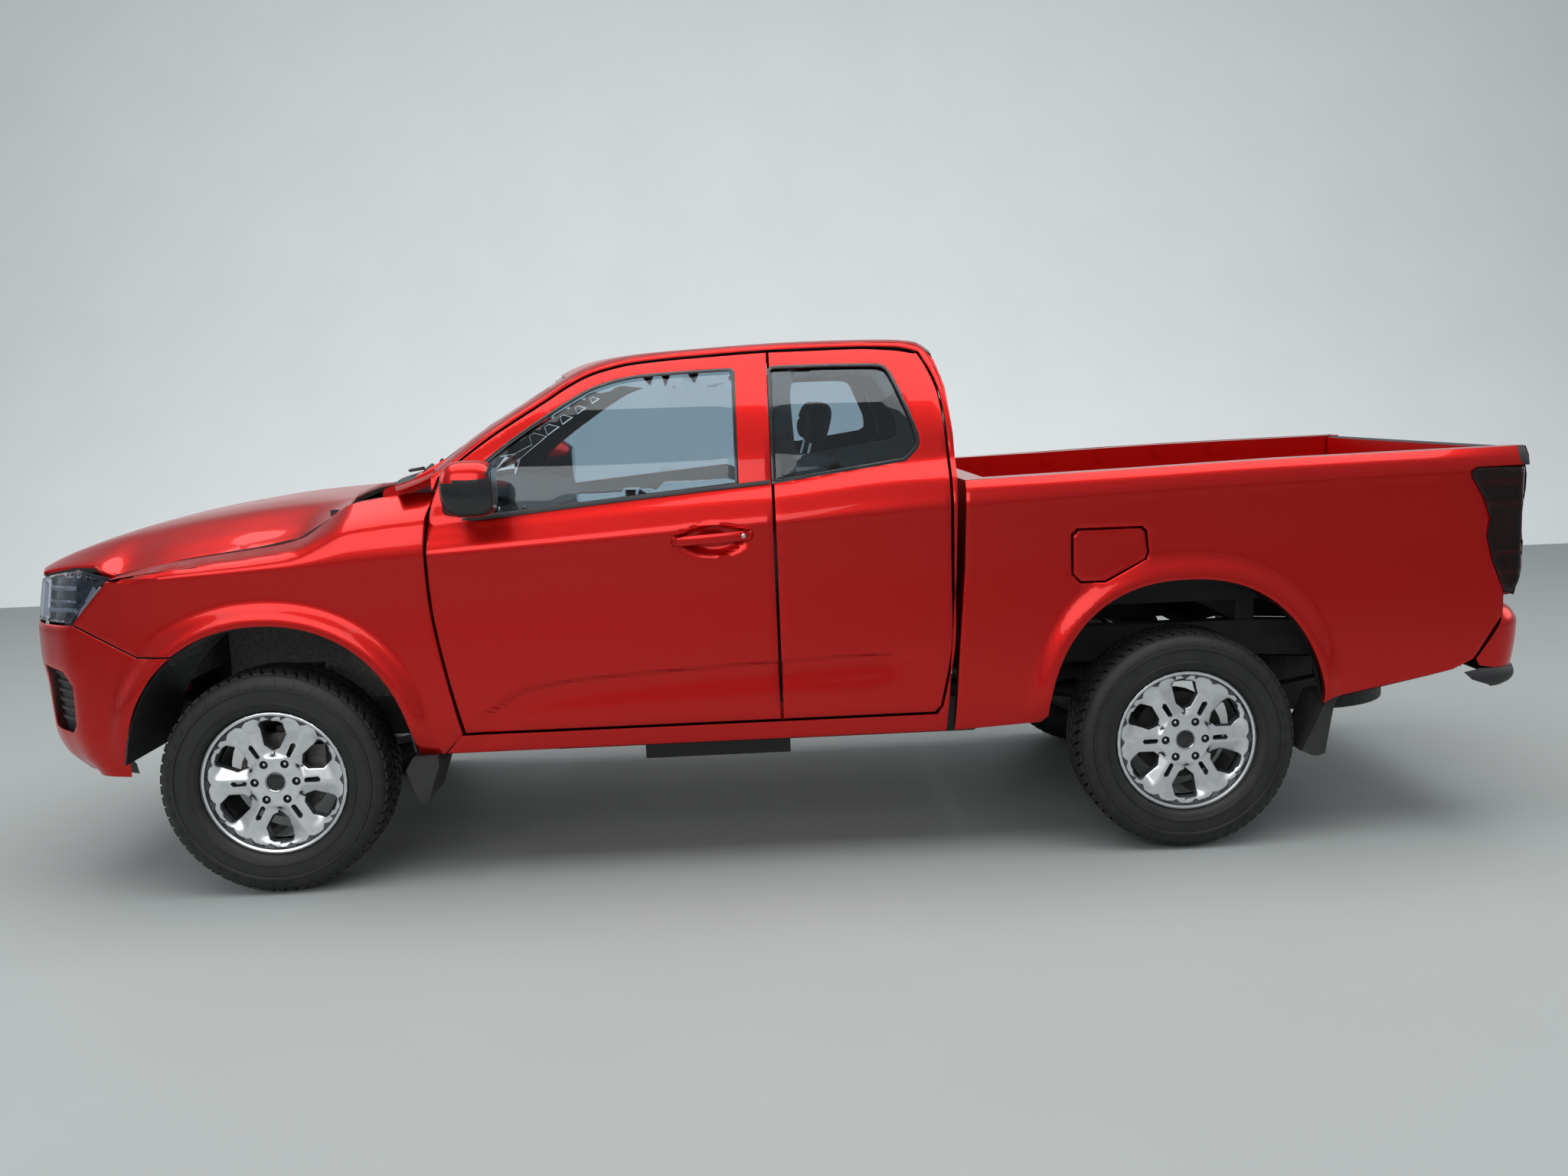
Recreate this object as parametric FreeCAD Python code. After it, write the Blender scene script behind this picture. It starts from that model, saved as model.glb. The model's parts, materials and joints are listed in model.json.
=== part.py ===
"""Extended-cab pickup truck in millimetres.

X runs along the truck with the nose at -X, Y runs across it with the left
side at -Y, and Z is up. The origin is on the ground under the middle of the
bounding box. Left-hand pieces are modelled and right-hand ones are mirrored.
"""
import FreeCAD, Part
import math
import os

# Overall and running gear
LENGTH = 5280.0
WHEELBASE = 3125.0
FRONT_OVERHANG = 905.0
HALF_TRACK = 785.0
TYRE_R = 385.0
TYRE_WIDTH = 265.0
RIM_LIP_R = 246.0
BEAD_R = 229.0
RIM_WIDTH = 208.0
LIP_THICK = 8.0
HUB_FACE_OUT = 33.0
STUD_CIRCLE_R = 69.85
STUD_COUNT = 6
NUT_R = 10.5
NUT_POCKET_R = 15.0
KINGPIN_Y = 700.0

NOSE_X = -LENGTH / 2
FRONT_AXLE_X = NOSE_X + FRONT_OVERHANG
REAR_AXLE_X = FRONT_AXLE_X + WHEELBASE

# Clearances
SHUT_GAP = 9.0
FIXED_SEAM = 1.0
SEAT_GAP = 0.3
CHORD_ERROR = 1.5

# Body widths, as half widths from the centre plane
BODY_HALF = 905.0
SILL_HALF = 866.0
CREASE_HALF = 899.0
WAIST_HALF = 895.0
BELT_HALF = 852.0
ROOF_HALF = 655.0
HOOD_HALF = 776.0
FLARE_HALF = 920.0
RAIL_HALF = 872.0

# Heights
SILL_Z = 454.0
DOOR_BOTTOM_Z = 522.0
CREASE_Z = 742.0
ROOF_DITCH_Z = 1781.0
ROOF_CROWN = 18.0
DITCH_DROP = 28.0
CAB_FLOOR_Z = 560.0
BED_FLOOR_Z = 850.0

# Lengthwise places
DOOR_SPLIT_X = -10.0
BED_FRONT_X = 640.0
BED_INNER_LENGTH = 1795.0
BED_INNER_HALF = 765.0
TAILGATE_DEPTH = 60.0
TAILGATE_BACK_X = 2595.0
WINDSCREEN_BULGE = 110.0
NOSE_PULL = 92.0
TAIL_PULL = 30.0

# Wall thicknesses
DOOR_DEPTH = 108.0
DOOR_EDGE_DEPTH = 40.0
FRAME_DEPTH = 42.0
PANEL = 36.0
ROOF_DEPTH = 44.0
GLASS = 5.0
GLASS_SET_IN = 8.0

BUMPER_SEAM_Z = 836.0

# Long lines of the body seen from the side, each as x, z points
SHOULDER_LINE = ((-2300, 1086), (-1159, 1139), (-31, 1197), (640, 1235), (1438, 1265), (2400, 1286))
BELT_LINE = ((-1200, 1238), (-932, 1262), (-134, 1331), (-21, 1338), (426, 1392), (620, 1400))
HOOD_LINE = ((-2600, 1074), (-2480, 1096), (-2320, 1110), (-2233, 1099), (-2095, 1132), (-1924, 1155),
             (-1753, 1175), (-1624, 1199), (-1526, 1255), (-1430, 1314), (-1152, 1350))
HOOD_CREST = ((-2600, 1106), (-2528, 1154), (-2402, 1203), (-2223, 1249), (-2010, 1285),
              (-1761, 1316), (-1532, 1330), (-1400, 1336))
RAIL_LINE = ((640, 1315), (1217, 1332), (1735, 1348), (2560, 1361))
ROOF_EDGE = ((-1340, 1345), (-1230, 1373), (-1128, 1419), (-978, 1529), (-778, 1654), (-626, 1741),
             (-473, 1778), (-235, 1795), (51, 1808), (315, 1808), (505, 1794), (556, 1758),
             (598, 1634), (613, 1379), (614, 454))
NOSE_CURVE = ((0, -2640), (300, -2627), (600, -2588), (720, -2530), (800, -2450), (856, -2360),
              (880, -2270), (894, -2187))
DOOR_FRONT_LINE = ((-1088, 522), (-1132, 733), (-1166, 935), (-1174, 1101), (-1167, 1264), (-1124, 1392))
CAB_REAR_LINE = ((540, 548), (582, 760), (588, 1000), (590, 1376), (572, 1610), (520, 1740))

LAMP_CORNER_LOW = (-2362, 950)
LAMP_CORNER_TOP = (-2232, 1083)
TAIL_LAMP_FRONT = ((2507, 858), (2460, 973), (2439, 1060), (2447, 1121), (2424, 1184), (2377, 1262),
                   (2373, 1284), (2395, 1296))
BED_FRONT_LINE = ((BED_FRONT_X, 1330), (628, 1010), (587, 498), (583, SILL_Z))
CAB_BED_GAP = 27.0
HOOD_HINGE_X = -1462.0
HOOD_HINGE_Z = 1240.0
HOOD_REAR_X = -1448.0
TAILGATE_HALF = 750.0
TAILGATE_PIN_X = 2575.0
TAILGATE_PIN_Z = 845.0
TAILGATE_PIN_R = 6.0

V = FreeCAD.Vector


def along(table, x):
    """Value at x on a line of (x, value) points."""
    if x <= table[0][0]:
        return table[0][1]
    for (x0, v0), (x1, v1) in zip(table, table[1:]):
        if x <= x1:
            return v0 + (v1 - v0) * (x - x0) / (x1 - x0)
    return table[-1][1]


def flip(shape):
    """The same shape on the right-hand side of the truck."""
    return shape.mirror(V(0, 0, 0), V(0, 1, 0))


def both(shape):
    """A left-hand shape with its right-hand twin."""
    return [shape, flip(shape)]


def box(x0, x1, y0, y1, z0, z1):
    return Part.makeBox(x1 - x0, y1 - y0, z1 - z0, V(x0, y0, z0))


def rod(start, end, radius):
    axis = end - start
    return Part.makeCylinder(radius, axis.Length, start, axis)


def bar(start, end, radius, sides=12):
    """Many-sided rod, for round pieces that nothing turns in."""
    along_axis = end.sub(start)
    turn = FreeCAD.Rotation(V(0, 0, 1), along_axis)
    corners = []
    for k in range(sides + 1):
        angle = 2 * math.pi * (k + 0.5) / sides
        corners.append(start.add(turn.multVec(V(radius * math.cos(angle), radius * math.sin(angle), 0))))
    return outward(Part.Face(Part.makePolygon(corners)).extrude(along_axis))


def path_wire(path, place):
    """Closed wire through a path: a tuple is a corner, a list is a smooth curve cut into short chords."""
    edges = []
    here = place(*path[0])
    for step in list(path[1:]) + [path[0]]:
        run = [here] + [place(*p) for p in (step if isinstance(step, list) else [step])]
        if len(run) > 2:
            curve = Part.BSplineCurve()
            curve.interpolate(run)
            run = curve.toShape().discretize(Deflection=CHORD_ERROR)
        for a, b in zip(run, run[1:]):
            if a.distanceToPoint(b) > 1e-6:
                edges.append(Part.LineSegment(a, b).toShape())
        here = run[-1]
    return Part.Wire(edges)


def facets(corners):
    """Flat faces over four corners: one where they lie in a plane, else two triangles."""
    ring = [p for k, p in enumerate(corners) if p.distanceToPoint(corners[k - 1]) > 1e-6]
    if len(ring) < 3:
        return []
    if len(ring) == 4:
        a, b, c, d = ring
        normal = c.sub(a).cross(d.sub(b)).normalize()
        if abs(normal.dot(b.sub(a))) > 1e-6:
            if a.distanceToPoint(c) > b.distanceToPoint(d):
                a, b, c, d = b, c, d, a
            return facets([a, b, c]) + facets([a, c, d])
    return [Part.Face(Part.makePolygon(ring + [ring[0]]))]


def skinned(rings, caps):
    """Solid with flat facets between rings of matching points and the given end faces."""
    faces = list(caps)
    for low, high in zip(rings, rings[1:]):
        for k in range(len(low)):
            faces += facets([low[k - 1], low[k], high[k], high[k - 1]])
    shell = Part.makeShell(faces)
    shell.sewShape()
    return outward(Part.makeSolid(shell))


def plate_xz(path, y0, y1):
    """A side-view outline given its width across the truck."""
    return outward(Part.Face(path_wire(path, lambda a, b: V(a, y0, b))).extrude(V(0, y1 - y0, 0)))


def plate_xy(path, z0, z1):
    """A plan outline given its height."""
    return outward(Part.Face(path_wire(path, lambda a, b: V(a, b, z0))).extrude(V(0, 0, z1 - z0)))


def plate_yz(path, x0, x1):
    """A front-view outline given its length."""
    return outward(Part.Face(path_wire(path, lambda a, b: V(x0, a, b))).extrude(V(x1 - x0, 0, 0)))


def moved(points, dx=0.0, dz=0.0):
    return [(a + dx, b + dz) for a, b in points]


def shrunk(path, gap):
    """The path drawn in by about a gap, towards its middle."""
    flat = [p for step in path for p in (step if isinstance(step, list) else [step])]
    ca = (min(p[0] for p in flat) + max(p[0] for p in flat)) / 2
    cb = (min(p[1] for p in flat) + max(p[1] for p in flat)) / 2
    sa = 1 - 2 * gap / (max(p[0] for p in flat) - min(p[0] for p in flat))
    sb = 1 - 2 * gap / (max(p[1] for p in flat) - min(p[1] for p in flat))

    def pull(p):
        return (ca + (p[0] - ca) * sa, cb + (p[1] - cb) * sb)
    return [[pull(p) for p in step] if isinstance(step, list) else pull(step) for step in path]


def outward(solid):
    """The solid with its faces turned outwards."""
    if solid.Volume < 0:
        solid.reverse()
    return solid


def loft(rings):
    """Solid through flat closed rings of matching points."""
    return skinned(rings, [Part.Face(Part.makePolygon(ring + [ring[0]])) for ring in (rings[0], rings[-1])])


def turned(profile, centre, axis, sides):
    """Many-sided solid of revolution of a closed profile of (radius, offset along the axis) points."""
    turn = FreeCAD.Rotation(V(0, 0, 1), axis)
    rings = []
    for k in range(sides):
        angle = 2 * math.pi * k / sides
        c = math.cos(angle)
        n = math.sin(angle)
        rings.append([centre.add(turn.multVec(V(r * c, r * n, w))) for r, w in profile])
    return skinned(rings + [rings[0]], [])


def fused(shapes):
    return shapes[0].fuse(shapes[1:]).removeSplitter() if len(shapes) > 1 else shapes[0]


def solids_of(shape):
    return shape.Solids if shape.Solids else [shape]


def save(name, shapes):
    """Write one node, whose solids may be several that do not touch."""
    solids = [s for shape in (shapes if isinstance(shapes, list) else [shapes]) for s in solids_of(shape)]
    whole = solids[0] if len(solids) == 1 else Part.makeCompound(solids)
    whole.exportStep("parts/" + name + ".step")
    print(name, len(solids), "valid", whole.isValid(), "litres", round(whole.Volume / 1e6, 2))


# Body side

def plan_pull(x):
    """How far the side comes in towards the nose and the tail."""
    front = max(0.0, -1950.0 - x) / 600.0
    rear = max(0.0, x - 2250.0) / 350.0
    return NOSE_PULL * front * front + TAIL_PULL * rear * rear


def side_points(x, zone):
    """Outer skin at x as (half width, z) points, from the sill up to the top line of its zone."""
    pull = plan_pull(x)
    shoulder = along(SHOULDER_LINE, x)
    points = [(SILL_HALF, SILL_Z), (CREASE_HALF - 6, DOOR_BOTTOM_Z + 60), (CREASE_HALF, CREASE_Z),
              (WAIST_HALF, (CREASE_Z + shoulder) / 2), (BODY_HALF, shoulder)]
    if zone == "fender":
        top = max(along(HOOD_LINE, x), shoulder + 8)
        points += [(BODY_HALF - 18, shoulder + (top - shoulder) * 0.5), (HOOD_HALF + pull, top)]
    elif zone == "cab":
        belt = along(BELT_LINE, x)
        points += [((BODY_HALF + BELT_HALF) / 2 + 4, (shoulder + belt) / 2), (BELT_HALF, belt)]
    else:
        rail = along(RAIL_LINE, x)
        points += [(BODY_HALF - 10, rail - 30), (RAIL_HALF, rail)]
    return [(half - pull, z) for half, z in points]


def green_half(z):
    """Half width of the cab above the belt, which leans inwards."""
    return along(((1250.0, BELT_HALF + 6), (1390.0, BELT_HALF - 18), (1560.0, BELT_HALF - 80),
                  (ROOF_DITCH_Z, ROOF_HALF)), z)


def side_slab(stations, depth, zone):
    """Left side wall below the belt, between its skin and an inner face."""
    rings = []
    for x in stations:
        outer = side_points(x, zone)
        inner = [(half - depth, z) for half, z in reversed(outer)]
        rings.append([V(x, -half, z) for half, z in outer + inner])
    return loft(rings)


def roof_edge(x):
    return along(ROOF_EDGE, x)


def door_top(x):
    return roof_edge(x) - DITCH_DROP


# Wheel arches

def arch_path(x0, half_length, height, power, bottom):
    """Wheel arch opening as a superellipse over the axle height, open below."""
    steps = 22
    curve = []
    for i in range(steps + 1):
        angle = math.pi * i / steps
        c = math.cos(angle)
        s = math.sin(angle)
        a = half_length * math.copysign(abs(c) ** (2 / power), c)
        b = height * abs(s) ** (2 / power)
        curve.append((x0 + a, TYRE_R + b))
    return [(x0 + half_length, bottom)] + curve + [(x0 - half_length, bottom)]


FRONT_ARCH = (FRONT_AXLE_X, 490.0, 540.0, 2.15)
REAR_ARCH = (REAR_AXLE_X, 490.0, 567.0, 2.3)
FLARE_WIDTH = 66.0
FLARE_BOTTOM_Z = 470.0
ARCH_FOOT_Z = 100.0


def arch_cut(arch, y0, y1, spread=0.0):
    x0, half_length, height, power = arch
    return plate_xz(arch_path(x0, half_length + spread, height + spread, power, ARCH_FOOT_Z), y0, y1)


def arch_flare(arch):
    """Raised lip round a wheel arch on the left side."""
    x0, half_length, height, power = arch
    rings = []
    for spread, half in ((FLARE_WIDTH, BODY_HALF - 30), (FLARE_WIDTH, BODY_HALF - 14),
                         (FLARE_WIDTH * 0.45, FLARE_HALF - 5), (6, FLARE_HALF)):
        path = arch_path(x0, half_length + spread, height + spread, power, ARCH_FOOT_Z)
        rings.append([V(a, -half, b) for a, b in path])
    ring = loft(rings).common(box(x0 - 700, x0 + 700, -1000, 0, FLARE_BOTTOM_Z, 1200))
    return ring.cut(arch_cut(arch, -1000, 0))


# Running gear

def tyre(x, side):
    """Tyre as a ring about the axle, side -1 on the left."""
    half = TYRE_WIDTH / 2
    lip = RIM_WIDTH / 2
    seat = lip - LIP_THICK - SEAT_GAP
    outer = [(BEAD_R + SEAT_GAP, seat - 2), (RIM_LIP_R + SEAT_GAP, seat)]
    outer += [(TYRE_R - 72, half), (TYRE_R, half - 38)]
    profile = [(r, -w) for r, w in outer] + list(reversed(outer))
    return turned(profile, V(x, side * HALF_TRACK, TYRE_R), V(0, 1, 0), WHEEL_SIDES)


def spun(path, degrees):
    """A path turned about the wheel centre."""
    c = math.cos(math.radians(degrees))
    n = math.sin(math.radians(degrees))

    def turn(p):
        return (p[0] * c - p[1] * n, p[0] * n + p[1] * c)
    return [[turn(p) for p in step] if isinstance(step, list) else turn(step) for step in path]


WHEEL_SIDES = 40

# Wheel openings with their middle line upright: a wide one between two spokes and a slit in each spoke
WHEEL_WINDOW = [(-29, 118), (-54, 196), [(-13, 204), (28, 202)], (34, 182), (9, 114), (-11, 100)]
WHEEL_SLIT = [(-16, 96), (4, 146), [(9, 149), (13, 143)], (-4, 92)]


def rim(x, side):
    """Alloy wheel: barrel and dish turned in one, then opened into six split spokes."""
    half = RIM_WIDTH / 2
    profile = [(30, HUB_FACE_OUT), (88, HUB_FACE_OUT), (96, 52), (202, 52), (213, -half),
               (RIM_LIP_R, -half), (RIM_LIP_R, -half + LIP_THICK), (BEAD_R, -half + LIP_THICK + 2),
               (BEAD_R - 14, half - 60), (BEAD_R, half - LIP_THICK - 2), (RIM_LIP_R, half - LIP_THICK),
               (RIM_LIP_R, half), (214, 88), (66, 88), (58, 78), (30, 78)]
    wheel = turned(profile, V(0, 0, 0), V(0, 1, 0), WHEEL_SIDES)
    pitch = 360.0 / STUD_COUNT
    nuts = []
    for k in range(STUD_COUNT):
        wheel = wheel.cut(plate_xz(spun(WHEEL_WINDOW, pitch * (k + 0.5)), 44, 120))
        wheel = wheel.cut(plate_xz(spun(WHEEL_SLIT, pitch * k), 44, 120))
        angle = math.radians(90 + pitch * k)
        a = STUD_CIRCLE_R * math.cos(angle)
        b = STUD_CIRCLE_R * math.sin(angle)
        wheel = wheel.cut(bar(V(a, 56, b), V(a, 120, b), NUT_POCKET_R, 8))
        nuts.append(bar(V(a, 50, b), V(a, 80, b), NUT_R, 6))
    cap = bar(V(0, 60, 0), V(0, 88, 0), 36, 20)
    wheel = wheel.fuse(nuts + [cap])
    if side < 0:
        wheel = flip(wheel)
    wheel.translate(V(x, side * HALF_TRACK, TYRE_R))
    return wheel


HUB_FACE_Y = HALF_TRACK + HUB_FACE_OUT
HUB_FLANGE_R = 82.0
DISC_R = 150.0
DRUM_R = 155.0
BALL_PIN_R = 12.0
UPRIGHT_LOW_Z = TYRE_R - 80
UPRIGHT_TOP_Z = TYRE_R + 165
ARM_THICK = 16.0

# Ladder frame
FRAME_FRONT_HALF = 410.0
FRAME_REAR_HALF = 520.0
FRAME_RAIL_WIDTH = 70.0
FRAME_DEPTH_Z = 130.0
FRAME_FRONT_X = -2470.0
FRAME_REAR_X = 2480.0
FRAME_TOP_LINE = ((FRAME_FRONT_X, 605), (-2250, 605), (-2050, 560), (-1400, 560), (-1180, 500), (700, 500),
                  (1000, 740), (1750, 740), (FRAME_REAR_X, 700))
CROSS_X = (-2380, -1180, -560, 60, 860, 1120, 1720, 2380)
CROSS_HEIGHT = 40.0
HITCH_PITCH_X = 40.0
HITCH_PITCH_Y = 600.0
HITCH_HOLE_R = 6.5
CAB_MOUNT_X = (-1000, -300, 450)
CAB_UNDER_Z = CAB_FLOOR_Z - 35


def frame_top(x):
    return along(FRAME_TOP_LINE, x)


def rail_outer(x):
    return along(((-1280, FRAME_FRONT_HALF), (-820, FRAME_REAR_HALF)), x)


def span(a, b):
    return min(a, b), max(a, b)


def side_box(x0, x1, side, y0, y1, z0, z1):
    """A box on one side of the truck, between two distances from the centre plane."""
    low, high = span(side * y0, side * y1)
    return box(x0, x1, low, high, z0, z1)


def frame_rail():
    """Left rail of the ladder frame: narrow at the front, raised over the rear axle."""
    out = FRAME_FRONT_HALF
    wide = FRAME_REAR_HALF
    w = FRAME_RAIL_WIDTH
    plan = [(FRAME_FRONT_X, -out), (-1280, -out), (-820, -wide), (FRAME_REAR_X, -wide),
            (FRAME_REAR_X, -wide + w), (-820, -wide + w), (-1280, -out + w), (FRAME_FRONT_X, -out + w)]
    low = [(x, z - FRAME_DEPTH_Z) for x, z in reversed(FRAME_TOP_LINE)]
    return plate_xy(plan, 200, 900).common(plate_xz(list(FRAME_TOP_LINE) + low, -700, 0))


def ladder_frame():
    """Two rails, their cross members, and the pads that carry the cab."""
    shapes = both(frame_rail())
    for x in CROSS_X:
        half = rail_outer(x) - FRAME_RAIL_WIDTH + 5
        low = frame_top(x) - FRAME_DEPTH_Z + 2
        shapes.append(box(x - 40, x + 40, -half, half, low, low + CROSS_HEIGHT))
    hitch_x = CROSS_X[-1]
    for dx in (-HITCH_PITCH_X / 2, HITCH_PITCH_X / 2):
        for y in (-HITCH_PITCH_Y / 2, HITCH_PITCH_Y / 2):
            hole = rod(V(hitch_x + dx, y, 500), V(hitch_x + dx, y, 650), HITCH_HOLE_R)
            shapes[-1] = shapes[-1].cut(hole)
    for x in CAB_MOUNT_X:
        y = rail_outer(x) - FRAME_RAIL_WIDTH / 2
        for side in (-1, 1):
            shapes.append(bar(V(x, side * y, frame_top(x) - 1), V(x, side * y, CAB_UNDER_Z - SEAT_GAP), 30))
    return fused(shapes)


def knuckle(side):
    """Upright, stub axle, brake disc, caliper and steering arm of one front corner."""
    x = FRONT_AXLE_X
    z = TYRE_R
    upright = side_box(x - 30, x + 30, side, KINGPIN_Y - 20, KINGPIN_Y + 32, UPRIGHT_LOW_Z, UPRIGHT_TOP_Z)
    upright = upright.cut(rod(V(x, side * KINGPIN_Y, 0), V(x, side * KINGPIN_Y, 900), BALL_PIN_R + SEAT_GAP))
    upright = upright.fuse(side_box(x - 30, x + 30, side, KINGPIN_Y - 20, KINGPIN_Y + 32, z - 40, z + 100))
    stub = bar(V(x, side * (KINGPIN_Y + 20), z), V(x, side * (HUB_FACE_Y - SEAT_GAP), z), 48)
    flange = bar(V(x, side * (HUB_FACE_Y - 14), z), V(x, side * (HUB_FACE_Y - SEAT_GAP), z), HUB_FLANGE_R, 18)
    disc = bar(V(x, side * (KINGPIN_Y + 50), z), V(x, side * (KINGPIN_Y + 74), z), DISC_R, 28)
    caliper = side_box(x + 84, x + 150, side, KINGPIN_Y + 30, KINGPIN_Y + 92, z - 30, z + 106)
    bracket = side_box(x, x + 120, side, KINGPIN_Y + 10, KINGPIN_Y + 34, z - 10, z + 60)
    arm = bar(V(x + 20, side * KINGPIN_Y, z - 60), V(x + 130, side * (KINGPIN_Y - 12), z - 60), 14)
    return fused([upright, stub, flange, disc, caliper, bracket, arm])


def wishbone(z0, reach):
    """Left wishbone, from two bushes at the rail to one ball joint."""
    x = FRONT_AXLE_X
    root = -(FRAME_FRONT_HALF + SEAT_GAP)
    path = [(x - reach, root), (x - reach + 60, root), (x - 4, -590), (x + reach - 60, root),
            (x + reach, root), (x + 28, -KINGPIN_Y - 6), [(x, -KINGPIN_Y - 24), (x - 28, -KINGPIN_Y - 6)]]
    return plate_xy(path, z0, z0 + ARM_THICK)


def front_suspension():
    """Left wishbones with their ball pins, and the damper between the lower one and the frame."""
    x = FRONT_AXLE_X
    y = -KINGPIN_Y
    low_z = UPRIGHT_LOW_Z - ARM_THICK - 3
    top_z = UPRIGHT_TOP_Z + 3
    lower = wishbone(low_z, 190).fuse(rod(V(x, y, low_z + 2), V(x, y, TYRE_R - 48), BALL_PIN_R))
    lower = lower.fuse(box(x - 190, x + 190, -FRAME_FRONT_HALF - 40, -FRAME_FRONT_HALF - SEAT_GAP,
                           low_z, frame_top(x) - FRAME_DEPTH_Z + 40))
    upper = wishbone(top_z, 120).fuse(rod(V(x, y, TYRE_R + 108), V(x, y, top_z + 2), BALL_PIN_R))
    tower = box(x - 55, x + 55, -585, -FRAME_FRONT_HALF - SEAT_GAP, 700, 714)
    tower = tower.fuse(box(x - 55, x + 55, -FRAME_FRONT_HALF - 14, -FRAME_FRONT_HALF - SEAT_GAP, 450, 714))
    damper = bar(V(x, -530, low_z + 10), V(x, -530, 705), 26).fuse(bar(V(x, -530, 400), V(x, -530, 690), 48))
    return fused([lower, upper, tower, damper])


# Engine, drive line and what hangs under the frame
SHAFT_R = 38.0
SHAFT_Z = 480.0
SHAFT_FRONT_X = -560.0
FLANGE_X = REAR_AXLE_X - 150
FLANGE_Y = 60.0
BLOCK_REAR_X = -1420.0
GEARBOX_END_X = -700.0


def engine():
    """Engine and gearbox as one plain block on its mounts."""
    block = box(-2080, BLOCK_REAR_X, -250, 250, 500, 1080)
    bell = box(BLOCK_REAR_X, -1200, -190, 190, 470, 860)
    gearbox = box(-1200, GEARBOX_END_X, -140, 140, 458, 600)
    tail = bar(V(GEARBOX_END_X - 10, 0, SHAFT_Z), V(SHAFT_FRONT_X, 0, SHAFT_Z), 50)
    mount_y = FRAME_FRONT_HALF - FRAME_RAIL_WIDTH - SEAT_GAP
    mounts = box(-1790, -1710, -mount_y, mount_y, 505, 550)
    return fused([block, bell, gearbox, tail, mounts])


def radiator():
    half = FRAME_FRONT_HALF - 4
    return box(-2360, -2310, -half, half, frame_top(-2330) + SEAT_GAP, 1080)


def rear_axle():
    """Live axle: tubes, differential, brake drums and hub flanges."""
    x = REAR_AXLE_X
    z = TYRE_R
    shapes = [bar(V(x, -640, z), V(x, 640, z), 42)]
    section = [(0, -110), (40, -110), (128, -40), (128, 60), (60, 115), (0, 115)]
    shapes.append(turned(section, V(x, FLANGE_Y, z), V(1, 0, 0), 20))
    shapes.append(bar(V(x - 90, FLANGE_Y, z), V(FLANGE_X, FLANGE_Y, z), 44))
    for side in (-1, 1):
        shapes.append(bar(V(x, side * 630, z), V(x, side * (HUB_FACE_Y - SEAT_GAP), z), 60, 16))
        shapes.append(bar(V(x, side * 700, z), V(x, side * 790, z), DRUM_R, 28))
        shapes.append(bar(V(x, side * (HUB_FACE_Y - 30), z), V(x, side * (HUB_FACE_Y - SEAT_GAP), z),
                          HUB_FLANGE_R, 18))
        shapes.append(side_box(x - 70, x + 70, side, SPRING_Y - 32, SPRING_Y + 32, z + 30, SPRING_SEAT_Z))
    return fused(shapes)


SPRING_Y = 590.0
SPRING_SEAT_Z = TYRE_R + 60
SPRING_REACH = (620.0, 500.0, 380.0, 260.0)
LEAF = 9.0


def leaf_path(reach, low):
    """One curved leaf, flat over the axle and rising to its ends."""
    x = REAR_AXLE_X
    rise = 62.0 * (reach / SPRING_REACH[0]) ** 2
    half = reach / 2
    under = [(x - half, low + rise / 4), (x, low), (x + half, low + rise / 4), (x + reach, low + rise)]
    over = [(x + half, low + rise / 4 + LEAF), (x, low + LEAF), (x - half, low + rise / 4 + LEAF),
            (x - reach, low + rise + LEAF)]
    return [(x - reach, low + rise), under, (x + reach, low + rise + LEAF), over]


def leaf_spring():
    """Left leaf pack with the hangers that hold its ends to the rail."""
    leaves = []
    for k, reach in enumerate(reversed(SPRING_REACH)):
        leaves.append(plate_xz(leaf_path(reach, SPRING_SEAT_Z + SEAT_GAP + (LEAF - 0.5) * k),
                               -SPRING_Y - 30, -SPRING_Y + 30))
    top = SPRING_SEAT_Z + 4 * LEAF
    for sign in (-1, 1):
        x = REAR_AXLE_X + sign * (SPRING_REACH[0] - 14)
        leaves.append(box(x - 22, x + 22, -SPRING_Y - 34, -FRAME_REAR_HALF - SEAT_GAP, top + 20, top + 180))
    leaves.append(box(REAR_AXLE_X - 60, REAR_AXLE_X + 60, -SPRING_Y - 34, -SPRING_Y + 34, top - 2, top + 18))
    return fused(leaves)


def driveshaft():
    """Two-piece shaft with cups at its joints, between flat flanges on the gearbox and the rear axle."""
    ends = [V(SHAFT_FRONT_X + 60, 0, SHAFT_Z), V(500, 0, SHAFT_Z - 30), V(FLANGE_X - 60, FLANGE_Y, TYRE_R)]
    pieces = [bar(p - V(30, 0, 0), p + V(30, 0, 0), SHAFT_R + 6) for p in ends]
    pieces += [bar(a, b, SHAFT_R - 6) for a, b in zip(ends, ends[1:])]
    pieces.append(bar(V(SHAFT_FRONT_X + SEAT_GAP, 0, SHAFT_Z), ends[0], SHAFT_R))
    pieces.append(bar(ends[2], V(FLANGE_X - SEAT_GAP, FLANGE_Y, TYRE_R), SHAFT_R))
    return fused(pieces)


def exhaust():
    """Pipe and silencer on the right, over the axle and out at the back."""
    route = [V(BLOCK_REAR_X + SEAT_GAP, 262, 700), V(-1350, 262, 700), V(-1262, 262, 345), V(640, 262, 345),
             V(740, 300, 400), V(1080, 330, 430), V(1240, 400, 545), V(1760, 400, 545), V(2460, 400, 545)]
    pipe = []
    for a, b in zip(route, route[1:]):
        reach = b.sub(a).normalize() * 8
        start = a if a is route[0] else a.sub(reach)
        pipe.append(bar(start, b.add(reach), 26))
    silencer = bar(V(745, 300, 402), V(1060, 328, 428), 68)
    return fused(pipe + [silencer])


def fuel_tank():
    x0 = CROSS_X[2] + 40 + SEAT_GAP
    x1 = CROSS_X[3] - 40 - SEAT_GAP
    return box(x0, x1, -440, -110, 300, 440)


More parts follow.
